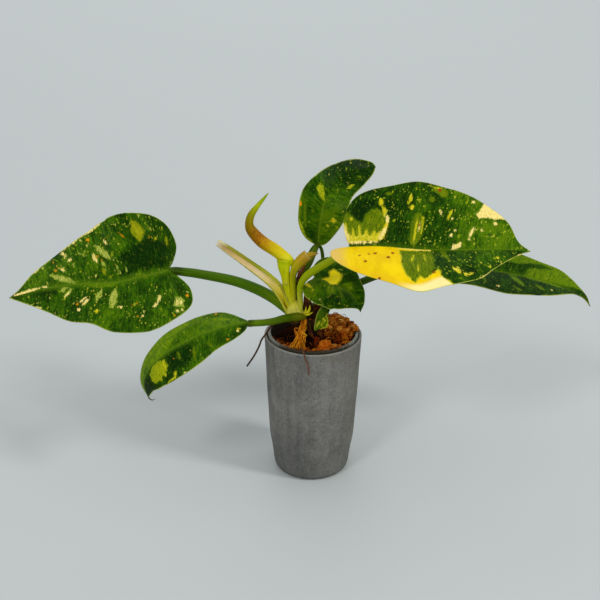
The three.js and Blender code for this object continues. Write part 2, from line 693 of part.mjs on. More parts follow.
const sheathLeft = (extra) => sweep({
  path: LEFT_SHEATH_PATH,
  radii: LEFT_SHEATH_RADII,
  steps: 16,
  section: channelSection(105, 0.2, extra),
  facing: [[0.9, -0.3, 0.3], [0.3, -0.8, 0.6]],
  extra,
});
const sheathMiddle = (extra) => sweep({
  path: MIDDLE_SHEATH_PATH,
  radii: MIDDLE_SHEATH_RADII,
  steps: 12,
  section: channelSection(110, 0.28, extra),
  facing: [[0.6, 0.7, 0], [0.7, 0.5, 0.5]],
  extra,
});
const newLeaf = (extra) => sweep({
  path: NEW_LEAF_PATH,
  radii: NEW_LEAF_RADII,
  steps: 20,
  section: rolledSection(),
  facing: [[0.5, -0.6, 0.6], [0.5, -0.6, 0.6]],
  extra,
});
const newLeafStalk = (extra) => sweep({
  path: NEW_LEAF_STALK_PATH,
  radii: NEW_LEAF_STALK_RADII,
  steps: 8,
  section: roundSection(TUBE_SIDES),
  facing: [[0, -1, 0], [0, -1, 0]],
  extra,
});
const sideShoot = (extra) => sweep({
  path: SHOOT_PATH,
  radii: SHOOT_RADII,
  steps: 5,
  section: roundSection(6),
  facing: [[0, -1, 0], [0, -1, 0]],
  extra,
});
const rootLeft = (extra) => sweep({
  path: LEFT_ROOT_PATH,
  radii: [LEFT_ROOT_RADIUS, 0.8 * LEFT_ROOT_RADIUS],
  steps: 18,
  section: roundSection(6),
  extra,
});
const rootFront = (extra) => sweep({
  path: FRONT_ROOT_PATH,
  radii: [FRONT_ROOT_RADIUS, 0.8 * FRONT_ROOT_RADIUS],
  steps: 18,
  section: roundSection(5),
  facing: [[1, 0, 0], [1, 0, 0]],
  extra,
});

// A tuft of thin roots that leaves the crown as one and spreads into the substrate.
function rootTuft(extra) {
  const random = seededRandom(5);
  const roots = [];
  for (let k = 0; k < TUFT_ROOTS; k += 1) {
    const spread = (k / (TUFT_ROOTS - 1) - 0.5) * 15;
    const foot = [TUFT_TOP[0] - 3 + spread, -22 - 5 * random(), 144];
    const knee = [lerp(TUFT_TOP[0], foot[0], 0.6), lerp(TUFT_TOP[1], foot[1], 0.45), 160];
    roots.push(solid(sweep({
      path: [TUFT_TOP, knee, foot],
      radii: [1.4 * TUFT_RADIUS, TUFT_RADIUS, 0.7 * TUFT_RADIUS],
      steps: 5,
      section: roundSection(4),
      extra,
    })));
  }
  return roots.reduce((sum, root) => sum.add(root));
}

const stemBody = (extra) => {
  const scars = 16;
  const radii = Array.from({ length: scars + 1 }, (_, k) => {
    const ring = k % 3 === 0 ? 0.7 : -0.2;
    return between(STEM_RADII, k / scars) + ring;
  });
  return sweep({
    path: STEM_PATH,
    radii,
    steps: scars,
    section: roundSection(10),
    facing: [[0, -1, 0], [0, -1, 0]],
    extra,
  });
};

const CROWN_BODIES = [
  { name: 'new_leaf', make: newLeaf, colour: SPIKE_YELLOW },
  { name: 'new_leaf_stalk', make: newLeafStalk, colour: STALK_OLIVE },
  { name: 'sheath_left', make: sheathLeft, colour: SHEATH_BEIGE },
  { name: 'sheath_middle', make: sheathMiddle, colour: STALK_OLIVE },
  ...Object.keys(STALKS).map((name) => ({
    name: `petiole_${name}`,
    make: (extra) => stalkSweep(name, extra),
    colour: STALKS[name].colour,
  })),
  { name: 'side_shoot', make: sideShoot, colour: STALK_OLIVE },
  { name: 'root_left', make: rootLeft, colour: ROOT_BROWN },
  { name: 'root_front', make: rootFront, colour: ROOT_BROWN },
  { name: 'root_tuft', make: rootTuft, colour: ROOT_GOLD },
  { name: 'stem', make: stemBody, colour: STEM_BROWN },
];

function asSolid(shape) {
  return shape.isBufferGeometry ? solid(shape) : shape;
}

// Assembly

addMesh('cover_pot', coverPot(), POT_GREY, 0.9);
addMesh('nursery_pot', nurseryPot(), NURSERY_GREY, 0.5);

const clearances = LEAVES.map((leaf) => solid(bladeGeometry(leaf, GAP)));
for (const leaf of LEAVES) {
  addMesh(`blade_${leaf.name}`, bladeGeometry(leaf), leaf.colour, 0.35);
}
for (const { name, make, colour } of CROWN_BODIES) {
  let body = asSolid(make(0));
  for (const clearance of clearances) body = body.subtract(clearance);
  addMesh(name, geometryOf(largestBody(body)), colour, 0.5);
  clearances.push(asSolid(make(GAP)));
}
const firstCrownBody = LEAVES.length;
addMesh('substrate', geometryOf(substrate(clearances.slice(firstCrownBody))), SOIL_BROWN, 1);

export default plant;
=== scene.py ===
# A potted variegated philodendron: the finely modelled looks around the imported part.
# Lengths are in millimetres until a mesh is made. The frame is the part's own, with +Z up.

import math
import random

import bmesh
import bpy
import numpy as np
from mathutils import Matrix, Vector, noise
from mathutils.geometry import tessellate_polygon


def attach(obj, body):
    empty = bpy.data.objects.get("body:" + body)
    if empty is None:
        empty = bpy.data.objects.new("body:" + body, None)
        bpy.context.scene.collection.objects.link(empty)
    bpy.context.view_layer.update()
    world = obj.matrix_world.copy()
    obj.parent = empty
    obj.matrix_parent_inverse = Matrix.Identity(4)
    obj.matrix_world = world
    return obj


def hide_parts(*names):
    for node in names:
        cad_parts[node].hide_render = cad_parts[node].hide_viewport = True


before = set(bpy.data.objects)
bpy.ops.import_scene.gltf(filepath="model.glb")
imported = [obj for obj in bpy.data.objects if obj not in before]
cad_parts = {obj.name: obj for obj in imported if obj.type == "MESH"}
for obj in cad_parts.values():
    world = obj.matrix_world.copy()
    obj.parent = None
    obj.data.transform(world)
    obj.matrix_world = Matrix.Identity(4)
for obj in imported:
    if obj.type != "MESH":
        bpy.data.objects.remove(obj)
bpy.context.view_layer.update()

MM = 0.001
LEFT = 1
RIGHT = -1
FRONT = (0, -1, 0)

# Driving dimensions, as in the part
POT_HEIGHT = 154
POT_RIM_RADIUS = 50
POT_FOOT_RADIUS = 33
POT_FOOT_CORNER = 38.7
POT_WALL = 2.6
POT_FLOOR = 8
POT_FLOOR_RADIUS = 37.4
RIM_ROUNDING = 0.8
FLOOR_ROUNDING = 3
LIP_RADIUS = 46.4
LIP_TOP = POT_HEIGHT + 2.4
LIP_BOTTOM = LIP_TOP - 5
LIP_INNER_RADIUS = 43.4
LIP_ROUNDING = 0.6
NURSERY_WALL = 1
NURSERY_FLOOR_RADIUS = 33
NURSERY_BOTTOM = POT_FLOOR + 0.3
NURSERY_FLOOR = NURSERY_BOTTOM + 1.2
DRAIN_RADIUS = 4
DRAIN_PLACE = 0.5 * NURSERY_FLOOR_RADIUS * math.sqrt(0.5)
SOIL_LEVEL = 149
SOIL_SHOULDER = 135
SOIL_BOTTOM = 9.8
STEM_PLACE = (-10, -4)
STEM_CLEARANCE = 11
BLADE_THICKNESS = 0.9
BLADE_EDGE_THICKNESS = 0.7
RIB_RIDGE = 1.6
RIB_GROOVE = 0.3
RIB_STEPS = 200
VEIN_BEND = 1.4
LOBE_REACH = 0.05

# The fine relief of the blades
VEIN_SPACING = 8.5
VEIN_SWAY = 1.3
VEIN_SWELL = 0.08
VEIN_CREASE = 0.09
VEIN_CREASE_WIDTH = 0.7
MARGIN_ROUNDING = 0.6
MARGIN_HALF_THICKNESS = 0.06

# Distances to a marking are kept to this much. The halves of a blade lie this far apart in the noise.
MARKING_REACH = 9.0
HALF_SHIFT = 40.0
RIB_TO_MARGIN = 20

# How finely the pieces are made
BLADE_STEP = 1.25
BLADE_ROWS = 46
TUBE_STEP = 1.6
POT_SIDES = 144
HOLE_SIDES = 24
SOIL_SIDES = 120
SOIL_RINGS = 44
CHIP_COUNT = 420
LUMP_COUNT = 46
LIP_CHIPS = 66
FIBRE_COUNT = 380
TUFT_FIBRES = 26

# Where the two rows of random numbers start
TUFT_SEED = 11
COIR_SEED = 5


def unit(vectors):
    return vectors / np.linalg.norm(vectors, axis=-1, keepdims=True)


def smoothstep(low, high, value):
    t = np.clip((value - low) / (high - low), 0, 1)
    return t * t * (3 - 2 * t)


def evenly(samples, share):
    """A value read between evenly spaced samples, share from 0 to 1."""
    return np.interp(share, np.linspace(0, 1, len(samples)), samples)


def circle(sides):
    angle = 2 * np.pi * np.arange(sides) / sides
    return np.stack([np.cos(angle), np.sin(angle)], -1)


def bend_through(start, corner, end, steps):
    """Points of a quadratic curve from start to end that is drawn to the corner."""
    t = np.linspace(0, 1, steps)[:, None]
    return (1 - t) ** 2 * np.array(start) + 2 * t * (1 - t) * np.array(corner) + t**2 * np.array(end)


class Curve:
    """A uniform Catmull-Rom curve through points, read by its share of length."""

    STEPS = 60

    def __init__(self, points):
        points = np.array(points, float)
        padded = np.vstack([2 * points[0] - points[1], points, 2 * points[-1] - points[-2]])
        count = len(points) - 1
        self.parameter = np.linspace(0, 1, self.STEPS * count + 1)
        index = np.minimum((self.parameter * count).astype(int), count - 1)
        t = (self.parameter * count - index)[:, None]
        before, start, end, after = (padded[index + k] for k in range(4))
        bend = (end - before) * t + (2 * before - 5 * start + 4 * end - after) * t**2
        self.points = start + 0.5 * (bend + (3 * start - before - 3 * end + after) * t**3)
        travelled = np.append(0, np.cumsum(np.linalg.norm(np.diff(self.points, axis=0), axis=1)))
        self.length = travelled[-1]
        self.share = travelled / self.length

    def at(self, share):
        return np.stack([np.interp(share, self.share, column) for column in self.points.T], -1)

    def tangent(self, share):
        ahead = self.at(np.clip(share + 0.002, 0, 1))
        return unit(ahead - self.at(np.clip(share - 0.002, 0, 1)))


# Meshes

def make_piece(name, node, slot, materials, points, faces, attributes, face_material=None):
    """A mesh object from points in millimetres that rides on the part and stands for a CAD node."""
    mesh = bpy.data.meshes.new(name)
    mesh.from_pydata((np.asarray(points) * MM).tolist(), [], faces)
    for material in materials:
        mesh.materials.append(material)
    if face_material is not None:
        mesh.polygons.foreach_set("material_index", face_material)
    for key, values in attributes.items():
        attribute = mesh.attributes.new(key, "FLOAT_VECTOR", "POINT")
        attribute.data.foreach_set("vector", np.asarray(values, np.float32).ravel())
    mesh.polygons.foreach_set("use_smooth", [True] * len(mesh.polygons))
    mesh.update()
    piece = bpy.data.objects.new(name, mesh)
    bpy.context.scene.collection.objects.link(piece)
    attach(piece, "root")
    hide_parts(node)


def joined(bodies):
    """The points, faces and traits of several bodies as those of one."""
    points, faces, traits = [], [], []
    for body_points, body_faces, body_traits in bodies:
        start = len(points)
        points.extend(np.asarray(body_points).tolist())
        faces.extend([start + k for k in face] for face in body_faces)
        traits.extend(np.asarray(body_traits).tolist())
    return points, faces, traits


def grid_faces(rings, sides):
    """Faces of a closed tube of rings, without its ends."""
    here = np.arange(rings - 1)[:, None] * sides + np.arange(sides)
    ahead = np.arange(rings - 1)[:, None] * sides + (np.arange(sides) + 1) % sides
    return np.stack([here, ahead, ahead + sides, here + sides], -1).reshape(-1, 4).tolist()


def sweep(path, radii, section, facing=(0.1, -0.2, 1), step=TUBE_STEP, bumps=None):
    """Points, faces and traits of a body swept along a path. Facing is one direction, or one for each
    end. The section is an outline, or gives one for every share of the length."""
    curve = Curve(path)
    rings = max(6, int(curve.length / step))
    shares = np.linspace(0, 1, rings)
    along = curve.tangent(shares)
    start, end = np.broadcast_to(np.array(facing, float), (2, 3))
    up = start + (end - start) * shares[:, None]
    up = unit(up - (up * along).sum(1, keepdims=True) * along)
    radius = evenly(radii, np.interp(shares, curve.share, curve.parameter))
    if bumps is not None:
        radius = radius + bumps(shares)
    outlines = np.stack([section(share) if callable(section) else section for share in shares])
    sides = outlines.shape[1]
    reach = outlines * radius[:, None, None]
    side = np.cross(along, up)
    points = curve.at(shares)[:, None] + side[:, None] * reach[..., :1] + up[:, None] * reach[..., 1:]
    traits = np.concatenate([np.broadcast_to(shares[:, None, None], (rings, sides, 1)),
                             np.broadcast_to(circle(sides), (rings, sides, 2))], -1)
    faces = grid_faces(rings, sides)
    faces.append(list(range(sides))[::-1])
    faces.append([(rings - 1) * sides + k for k in range(sides)])
    return points.reshape(-1, 3), faces, traits.reshape(-1, 3)


# Shader nodes. Colours are written as display colours from 0 to 255.

def linear(colour):
    """A display colour as a linear one with alpha. A node's output stays as it is."""
    if isinstance(colour, bpy.types.NodeSocket):
        return colour
    return (*(((c / 255 + 0.055) / 1.055) ** 2.4 if c > 10 else c / 255 / 12.92 for c in colour), 1.0)


class Value:
    """A number in a shader. Arithmetic on it adds math nodes."""

    def __init__(self, shader, socket):
        self.shader = shader
        self.socket = socket

    def __add__(self, other):
        return self.shader.math("ADD", self, other)

    def __sub__(self, other):
        return self.shader.math("SUBTRACT", self, other)

    def __mul__(self, other):
        return self.shader.math("MULTIPLY", self, other)

    def around(self, gain):
        """A noise value as an amount to either side of zero."""
        return self.shader.math("MULTIPLY_ADD", self, gain, -0.5 * gain)

    def ramp(self, low, high):
        """0 at low and 1 at high, smoothly."""
        node = self.shader.add("ShaderNodeMapRange", {"Value": self, "From Min": low, "From Max": high},
                               interpolation_type="SMOOTHSTEP")
        return Value(self.shader, node.outputs["Result"])


class Shader:
    """Adds nodes to one material's tree, and holds its colour so far."""

    def __init__(self, name):
        self.material = bpy.data.materials.new(name)
        self.material.use_nodes = True
        self.tree = self.material.node_tree
        self.tree.nodes.clear()
        self.colour = None

    def add(self, kind, inputs, **settings):
        node = self.tree.nodes.new(kind)
        for key, value in settings.items():
            setattr(node, key, value)
        for key, value in inputs.items():
            value = getattr(value, "socket", value)
            if isinstance(value, bpy.types.NodeSocket):
                self.tree.links.new(value, node.inputs[key])
            else:
                node.inputs[key].default_value = value
        return node

    def math(self, operation, *values):
        node = self.add("ShaderNodeMath", dict(enumerate(values)), operation=operation)
        return Value(self, node.outputs[0])

    def vector_math(self, operation, first, second):
        return self.add("ShaderNodeVectorMath", {0: first, 1: second}, operation=operation).outputs[0]

    def scaled(self, vector, scale):
        return self.vector_math("MULTIPLY", vector, scale)

    def split(self, vector):
        return [Value(self, socket) for socket in self.add("ShaderNodeSeparateXYZ", {0: vector}).outputs]

    def trait(self, name):
        return self.add("ShaderNodeAttribute", {}, attribute_name=name).outputs["Vector"]

    def place(self):
        return self.add("ShaderNodeTexCoord", {}).outputs["Object"]

    def noise(self, vector, scale, detail=3, roughness=0.6):
        """A noise value. A scale of three numbers stretches it."""
        if isinstance(scale, tuple):
            vector = self.scaled(vector, scale)
            scale = 1
        inputs = {"Vector": vector, "Scale": scale, "Detail": detail, "Roughness": roughness}
        return Value(self, self.add("ShaderNodeTexNoise", inputs).outputs[0])

    def warped(self, vector, place, scale, reach):
        """The vector moved about by a noise of the place."""
        drift = self.add("ShaderNodeTexNoise", {"Vector": place, "Scale": scale, "Detail": 2}).outputs[1]
        drift = self.scaled(self.vector_math("SUBTRACT", drift, (0.5, 0.5, 0.5)), (reach, reach, 0))
        return self.vector_math("ADD", vector, drift)

    def cells(self, vector, scale):
        """Distance to the nearest scattered point, and three random numbers of that point."""
        outputs = self.add("ShaderNodeTexVoronoi", {"Vector": vector, "Scale": scale}).outputs
        return Value(self, outputs["Distance"]), self.split(outputs["Color"])

    def mix(self, factor, first, second):
        inputs = {0: factor, 6: linear(first), 7: linear(second)}
        return self.add("ShaderNodeMix", inputs, data_type="RGBA").outputs[2]

    def paint(self, cover, colour):
        """Lays a colour over the colour so far."""
        self.colour = self.mix(cover, self.colour, colour)

    def ramp(self, value, stops):
        """A colour between stops, each of them a position and its display colour."""
        node = self.add("ShaderNodeValToRGB", {0: value})
        elements = node.color_ramp.elements
        for element, stop in ((elements[0], stops[0]), (elements[1], stops[-1])):
            element.position = stop[0]
            element.color = linear(stop[1:])
        for position, *colour in stops[1:-1]:
            elements.new(position).color = linear(colour)
        return node.outputs["Color"]

    def finish(self, roughness, specular, height=None, distance=0.0002, strength=0.4):
        """Ends the tree in one surface shader, with a bump where a height is given."""
        inputs = {"Base Color": self.colour, "Roughness": roughness, "Specular IOR Level": specular}
        if height is not None:
            bump = self.add("ShaderNodeBump", {"Height": height, "Distance": distance, "Strength": strength})
            inputs["Normal"] = bump.outputs[0]
        surface = self.add("ShaderNodeBsdfPrincipled", inputs)
        self.add("ShaderNodeOutputMaterial", {"Surface": surface.outputs[0]})
        return self.material


# Ranges of colour, each stop a position and its display colour
GREEN_STOPS = [(0, 10, 38, 2), (0.28, 21, 55, 2), (0.5, 36, 73, 2), (0.72, 56, 95, 2), (1, 86, 118, 4)]
OLIVE_STOPS = [(0.25, 46, 78, 3), (0.45, 82, 106, 4), (0.62, 108, 126, 5), (0.88, 170, 168, 24)]
PALE_STOPS = [(0.25, 84, 116, 10), (0.5, 150, 164, 52), (0.8, 210, 206, 116)]
LIGHT_STOPS = [(0.3, 56, 88, 4), (0.5, 88, 118, 4), (0.7, 112, 136, 8)]
LIME_STOPS = [(0.25, 140, 150, 12), (0.5, 192, 186, 22), (0.8, 226, 210, 60)]
CREAM_STOPS = [(0.25, 206, 188, 80), (0.5, 240, 218, 128), (0.8, 252, 231, 152)]
CREAM = (252, 231, 152)
ORANGE = (218, 142, 12)
BROWN = (140, 60, 8)
GOLDS = ((226, 188, 4), (240, 208, 8))

# Scattered flecks: cell shares per millimetre across and along the veins, how many cells have one,
# its least and greatest radius in cells, its strength, and the range of its colours
FLECKS = [
    ((0.09, 0.045), 0.38, 0.08, 0.20, 0.55, [(70, 104, 6), (118, 136, 10), (104, 128, 8)]),
    ((0.25, 0.13), 0.50, 0.12, 0.28, 0.85,
     [(112, 132, 10), (172, 174, 50), (224, 210, 124), (142, 152, 20)]),
    ((0.48, 0.32), 0.40, 0.18, 0.38, 0.8, [(112, 134, 12), (190, 188, 76), (150, 152, 20)]),
]

# Every leaf, with the same rib, facing, folds and outline as in the part. Each half has its own
# shade, which is how light the green is from base to tip, and its markings by tone. On the top leaf
# the fall of the shade near the tip is painted shade. "flecks" is how thickly the small flecks lie.
# Outlines and markings are in flat leaf coordinates: x from the leaf base along the midrib, y away
# from it. A marking of three numbers is a dot, as its place and radius, one of five is a streak, as
# its ends and width, and one of pairs is a patch, as its corners.
LEAVES = {
    "left": dict(
        slot="leaf_dark", rib_light=0.55, flecks=1.0, arch=20, ripple=(1.0, 52, 0.4),
        rib=[(-148, 12, 218), (-176, 4, 214), (-202, -2, 210), (-230, -5, 210), (-255, -8, 208),
             (-277, -12, 205), (-305, -18, 199)],
        facing=[(0.18, -0.80, 0.57), (0.10, -0.78, 0.61), (0, -0.72, 0.69)],
        olive_stops=[(0.22, 74, 102, 4), (0.42, 126, 134, 6), (0.6, 152, 152, 10), (0.85, 190, 184, 40)],
        halves={
            LEFT: dict(
                fold=(12, 12, 8), shade=(0.5, 0.55, 0.5, 0.45, 0.35),
                outline=[(0, 0), (-9, 10), (-17, 25), (-14, 41), (4, 51), (32, 58), (58, 53), (76, 44),
                         (104, 39), (125, 27), (145, 13), (162, 0)],
                # This dark patch by the tip is painted shade below the midrib, where the tip folds.
                dark=[((112, 1), (116, 9), (126, 8), (138, 4), (132, 0))],
                light=[((50, 0), (58, 5), (76, 5), (86, 1))],
                yellow=[(73, 30, 1.8)],
                pale=[((5, 38), (1, 34), (0, 29), (-4, 31), (-9, 34), (-6, 37), (-6, 42), (0, 40)),
                      (56, 8, 60, 26, 6), (68, 8, 74, 19, 4.6), (98, 5, 107, 12, 3.4),
                      (102, 2.5, 111, 6, 3.6)],
                cream=[(82, 18, 88, 23, 3), (84, 15, 91, 20, 2.4), (101, 9, 107, 12.5, 1.6),
                       (15, 25, 19, 31, 2.4), (19, 31, 24, 35, 2), (-1, 33, 1, 38, 1.8),
                       (-5, 35, -3, 38, 1.4), (138, 18, 132, 20, 1.6), (2, 44, 1.4), (-3, 44, 1.2),
                       (37, 41, 1.3), (54, 27, 1.4), (93, 28, 1.4)],
                spot=[(39, 25, 39, 29, 1.6), (-12, 31, 1.8), (6, 48, 1.3), (44, 27, 1), (42, 40, 1.1),
                      (94, 22, 1.5)]),
            RIGHT: dict(
                fold=(12, 12, 8), shade=(0.38, 0.48, 0.55, 0.55, 0.42),
                outline=[(0, 0), (-8, 9), (-14, 24), (-9, 45), (6, 60), (28, 67), (50, 66), (70, 62),
                         (85, 49), (105, 35), (118, 27), (135, 17), (150, 6), (162, 0)],
                dark=[((-7, 28), (0, 5), (48, 6), (44, 16), (46, 26), (34, 28), (24, 35), (8, 34))],
                olive=[((26, 59), (20, 56), (16, 49), (14, 43), (18, 38), (22, 34), (25, 41), (28, 47),
                        (26, 54)), (-5, 34, -5, 25, 2.4), (67, 15, 65, 9, 3.4)],
                yellow=[(5, 36, 6, 32, 1.8)],
                pale=[(75, 38, 57, 24, 6), (117, 12, 95, 1.5, 5.5), (41, 16, 41, 8, 1.8),
                      (50, 16, 48, 8, 1.8), (68, 22, 64, 17, 3.5), (90, 31, 83, 28, 1.6)],
                cream=[(156, 1, 129, 2, 2.8), (127, 2, 122, 1.5, 2), (104, 36, 86, 48, 3),
                       (92, 44.5, 70, 61.5, 3.4), (134, 18, 127, 21.5, 2.5), (77, 30, 73, 21, 3),
                       (66, 43, 60, 40, 2.6), (107, 18, 102, 14, 2.4), (98, 25, 1.8), (104, 32, 1.3),
                       (102, 28, 1)],
                spot=[(39, 49, 34, 41, 1.8), (11, 37, 1.2), (51, 17.5, 1), (73, 27, 1.5), (68, 23.5, 1.3),
                      (64, 45, 1.2), (81, 44, 1.8), (112, 16, 1.5), (109, 19, 1), (113, 25, 1)])}),
    "right": dict(
        slot="leaf_dark", rib_light=0.38, flecks=1.0, arch=34, ripple=(1.2, 60, 1.0),
        rib=[(34, -30, 263), (63, -32, 265), (102, -34, 263), (141, -34, 263), (180, -30, 262),
             (211, -26, 259)],
        facing=[(0, -0.47, 0.88), (0, -0.47, 0.88), (0.1, -0.50, 0.86)],
        fleck_colours=[(112, 138, 10), (168, 176, 24), (214, 206, 76), (140, 156, 16)],
        pale_stops=[(0.25, 156, 156, 10), (0.5, 214, 200, 30), (0.8, 240, 222, 110)],
        pale_tear=1.5, spot_colour=BROWN, spot_growth=0.4,
        halves={
            LEFT: dict(
                fold=(26, 26, 14), shade=(0.15, 0.27, 0.42, 0.85, 0.7),
                outline=[(0, 0), (-4, 12), (-6, 26), (-1, 43), (10, 55), (28, 65), (50, 73), (76, 74),
                         (102, 69), (125, 59), (142, 47), (158, 30), (166, 10), (178, 0)],
                dark=[((2, 37), (5, 46), (14, 50), (25, 50), (26, 43), (22, 39), (16, 33), (12, 26),
                       (7, 28))],
                olive=[((81, 69), (87, 72), (93, 71), (100, 65), (97, 57), (91, 58), (87, 62), (82, 64)),
                       ((66, 39), (73, 31), (71, 15), (63, 1), (57, 6), (58, 24), (62, 36)),
                       ((-5, 33), (-3, 37), (5, 30), (8, 27), (13, 25), (16, 33), (22, 39), (26, 40),
                        (31, 37), (34, 30), (34, 15), (28, 5), (13, 5), (0, 4), (-6, 13), (-8, 24)),
                       (35, 58, 2.4), (81, 54, 3.4)],
                yellow=[(101, 42, 96, 31, 3), (57, 59, 54, 46, 3.2), (29, 51, 29, 44, 4),
                        (84, 68, 92, 69, 1.6), (65, 33, 61, 5, 2), (71, 34, 69, 16, 1.8),
                        (31, 43, 33, 31, 3.2), (36, 28, 31, 10, 4.4), (26, 7.5, 1, 7, 2.6),
                        (-2, 7, -4, 25, 2.4), (4, 6, 3, 20, 2.6), (10, 6, 10, 22, 2.4),
                        (16, 6, 17, 18, 2.8), (23, 6, 24, 17, 2.4), (58, 43.5, 2.6), (65, 52, 1.4),
                        (73, 45, 1.3), (2, 29, 1.6)],
                pale=[((-4, 4), (-8, 14), (-7, 19), (0, 13), (13, 12), (24, 11), (33, 15), (33, 8),
                       (26, 4))],
                cream=[((127, 38), (132, 44), (139, 52), (152, 48), (164, 32), (155, 34), (147, 34),
                        (144, 31.5), (141, 35), (136, 34), (129, 33)), (123, 23, 118, 14, 3),
                       (108, 7, 100, 1, 5), (89, 43, 90, 36, 2.6), (68, 28, 66, 19, 1.8),
                       (34, 34, 36, 24, 3.2), (35, 20, 28, 6, 3.2), (27, 4.5, -2, 4.5, 2.4),
                       (0, 5, -6, 24, 2), (145, 28, 1.9), (117, 11, 1.2), (126, 52, 1.6), (101, 33, 1.3),
                       (131, 20, 1.3), (99, 15, 1.6), (103, 20, 1.2)],
                spot=[(90, 66, 1.6), (67, 25, 0.9)]),
            RIGHT: dict(
                fold=(24, 24, 12), shade=(0.2, 0.2, 0.28, 0.4, 0.5),
                outline=[(0, 0), (-10, 1), (-18, 7), (-16, 20), (-4, 34), (16, 47), (40, 57), (65, 64),
                         (84, 58), (104, 51), (121, 42), (134, 30), (152, 16), (168, 5), (178, 0)],
                olive=[((49, 5), (79, 4), (81, 13), (81, 30), (77, 41), (71, 47), (67, 42), (65, 51),
                        (63, 53), (56, 45), (52, 34)), (89, 2, 94, 18, 5)],
                yellow=[((-25, -3), (78, -1), (80, 3), (49, 6), (51, 20), (52, 33), (56, 45), (63, 53),
                         (67, 43), (71, 47), (77, 41), (82, 35), (85, 33), (87, 43), (97, 54), (80, 70),
                         (30, 66), (-25, 45)), (62, 12, 60, 24, 1.8), (72, 9, 73, 22, 1.6),
                        (66, 28, 66, 38, 1.8), (131, 26, 1.7), (142, 13, 1.8)],
                pale=[(97, 31, 103, 38, 3.6), (106, 40, 112, 38, 3.4)],
                cream=[(46, 1, 78, 2, 2.2), (116, 46, 170, 4, 2.4)],
                spot=[(80, 38, 1.2), (25, 14, 1.4), (42, 12, 1.4), (38, 20, 1.6), (16, 27, 1.3),
                      (10, 17, 1), (30, 52, 1.3), (19, 15, 0.8)])}),
    "low_left": dict(
        slot="leaf_mid", rib_light=0.45, flecks=0.7, arch=30, ripple=(0.6, 50, 2.0),
        rib=[(-65, -34, 183), (-87, -38, 180), (-108, -43, 175), (-123, -47, 169), (-138, -51, 162),
             (-150, -54, 154), (-162, -57, 142), (-168, -59, 126), (-164, -60, 109)],
        facing=[(-0.1, -0.30, 0.95), (-0.35, -0.42, 0.83), (-0.80, -0.45, 0.35)],
        pale_stops=[(0.25, 84, 118, 6), (0.5, 142, 156, 8), (0.8, 200, 190, 20)],
        light_stops=[(0.3, 68, 104, 3), (0.5, 98, 130, 4), (0.7, 128, 152, 6)],
        halves={
            LEFT: dict(
                fold=(-6, -6, 0), shade=(0.45, 0.6, 0.55, 0.35, 0.15),
                outline=[(0, 0), (5, 10), (18, 18), (36, 23), (60, 30), (84, 33), (104, 31), (120, 25),
                         (133, 15), (144, 0)],
                dark=[((61, 3), (72, 1), (90, 1), (93, 12), (92, 24), (80, 26), (66, 22), (62, 12)),
                      ((117, 0), (119, 8), (120, 18), (114, 25), (132, 15), (144, -1)),
                      ((-2, -1), (5, -1), (7, 5), (14, 14), (8, 14), (2, 6))],
                olive=[(60, 9, 65, 24, 2.6), (77, 7, 78, 15, 2.6), (46, 12, 42, 21, 2.2)],
                yellow=[(95, 6, 97, 17, 2), (89, 25, 92, 29, 3), (91, 30, 104, 30, 1.8), (9, 7, 13, 6, 0.9)],
                pale=[((110, 2), (100, 1), (93, 6), (93, 14), (98, 19), (101, 23), (104, 19), (109, 24),
                       (112, 20), (117, 19), (118, 12), (115, 5))],
                cream=[(81, 31, 1), (12, 9, 1.1)],
                spot=[(25, 16.5, 1.4), (84, 11, 1)]),
            RIGHT: dict(
                fold=(-6, -6, -5), shade=(0.7, 0.85, 0.8, 0.85, 0.75),
                outline=[(0, 0), (6, 8), (14, 18), (26, 27), (50, 30), (75, 29), (95, 24), (115, 17),
                         (130, 10), (144, 0)],
                dark=[((-2, -1), (5, -1), (6, 7), (2, 7))],
                light=[((56, 22), (84, 17), (112, 9), (136, 1), (146, 2), (130, 12), (108, 22), (80, 32),
                        (54, 34)), ((74, 14), (84, 4), (96, -1), (112, -1), (112, 6), (98, 10), (86, 17)),
                       (18, 9, 34, 18, 5)],
                spot=[(28, 24.5, 1.6)])}),
    "top": dict(
        slot="leaf_dark", rib_light=0.45, flecks=0.75, arch=40, ripple=(0.5, 45, 0.6),
        rib=[(4, 26, 245), (5, 27, 260), (7, 28, 274), (10, 30, 286), (16, 36, 297), (26, 46, 305),
             (42, 56, 312), (62, 66, 312)],
        facing=[(-0.05, -0.97, 0.2), (-0.10, -0.93, 0.30), (0.30, -0.55, 0.78)],
        pale_stops=[(0.25, 84, 118, 6), (0.5, 150, 160, 12), (0.8, 206, 198, 40)],
        # Past the middle both halves' shade falls to near nothing and the rib band fades out: painted shade
        # where the tip bends back from the light.
        pale_tear=0.45, line=0.75, rib_end=0.5,
        halves={
            LEFT: dict(
                fold=(24, 22, 10), shade=(0.55, 0.65, 0.48, 0.06, 0.06),
                outline=[(0, 0), (-2, 4), (5, 14), (18, 22), (34, 25), (46, 26), (58, 22), (75, 17),
                         (92, 12), (106, 8), (113, 5), (115, 0)],
                olive=[(20, 21.5, 44, 25.5, 3), (16, 15, 40, 20, 2.2), (32, 10, 1.4), (23, 6, 1.2)],
                pale=[((43, 0.5), (46, 8), (51, 14), (55, 14), (55, 9), (50, 4)), (-2, 5, 5, 13, 2.6),
                      (5, 13.5, 22, 22, 2.4)],
                spot=[(36, 24, 2)]),
            RIGHT: dict(
                fold=(24, 22, 10), shade=(0.68, 0.95, 0.6, 0.06, 0.06),
                outline=[(0, 0), (-3, 4), (2, 11), (14, 19), (30, 25), (48, 25), (66, 22), (84, 20),
                         (98, 16), (108, 9), (115, 0)],
                olive=[(89, 8, 93, 10, 2.4), (14, 15, 1.6)],
                yellow=[((26, 11), (30, 13), (28, 18), (24, 15)), (20, 9, 1.5)],
                pale=[(69, 12, 79, 13, 3.4), (21, 19, 1.5)])}),
    "back_right": dict(
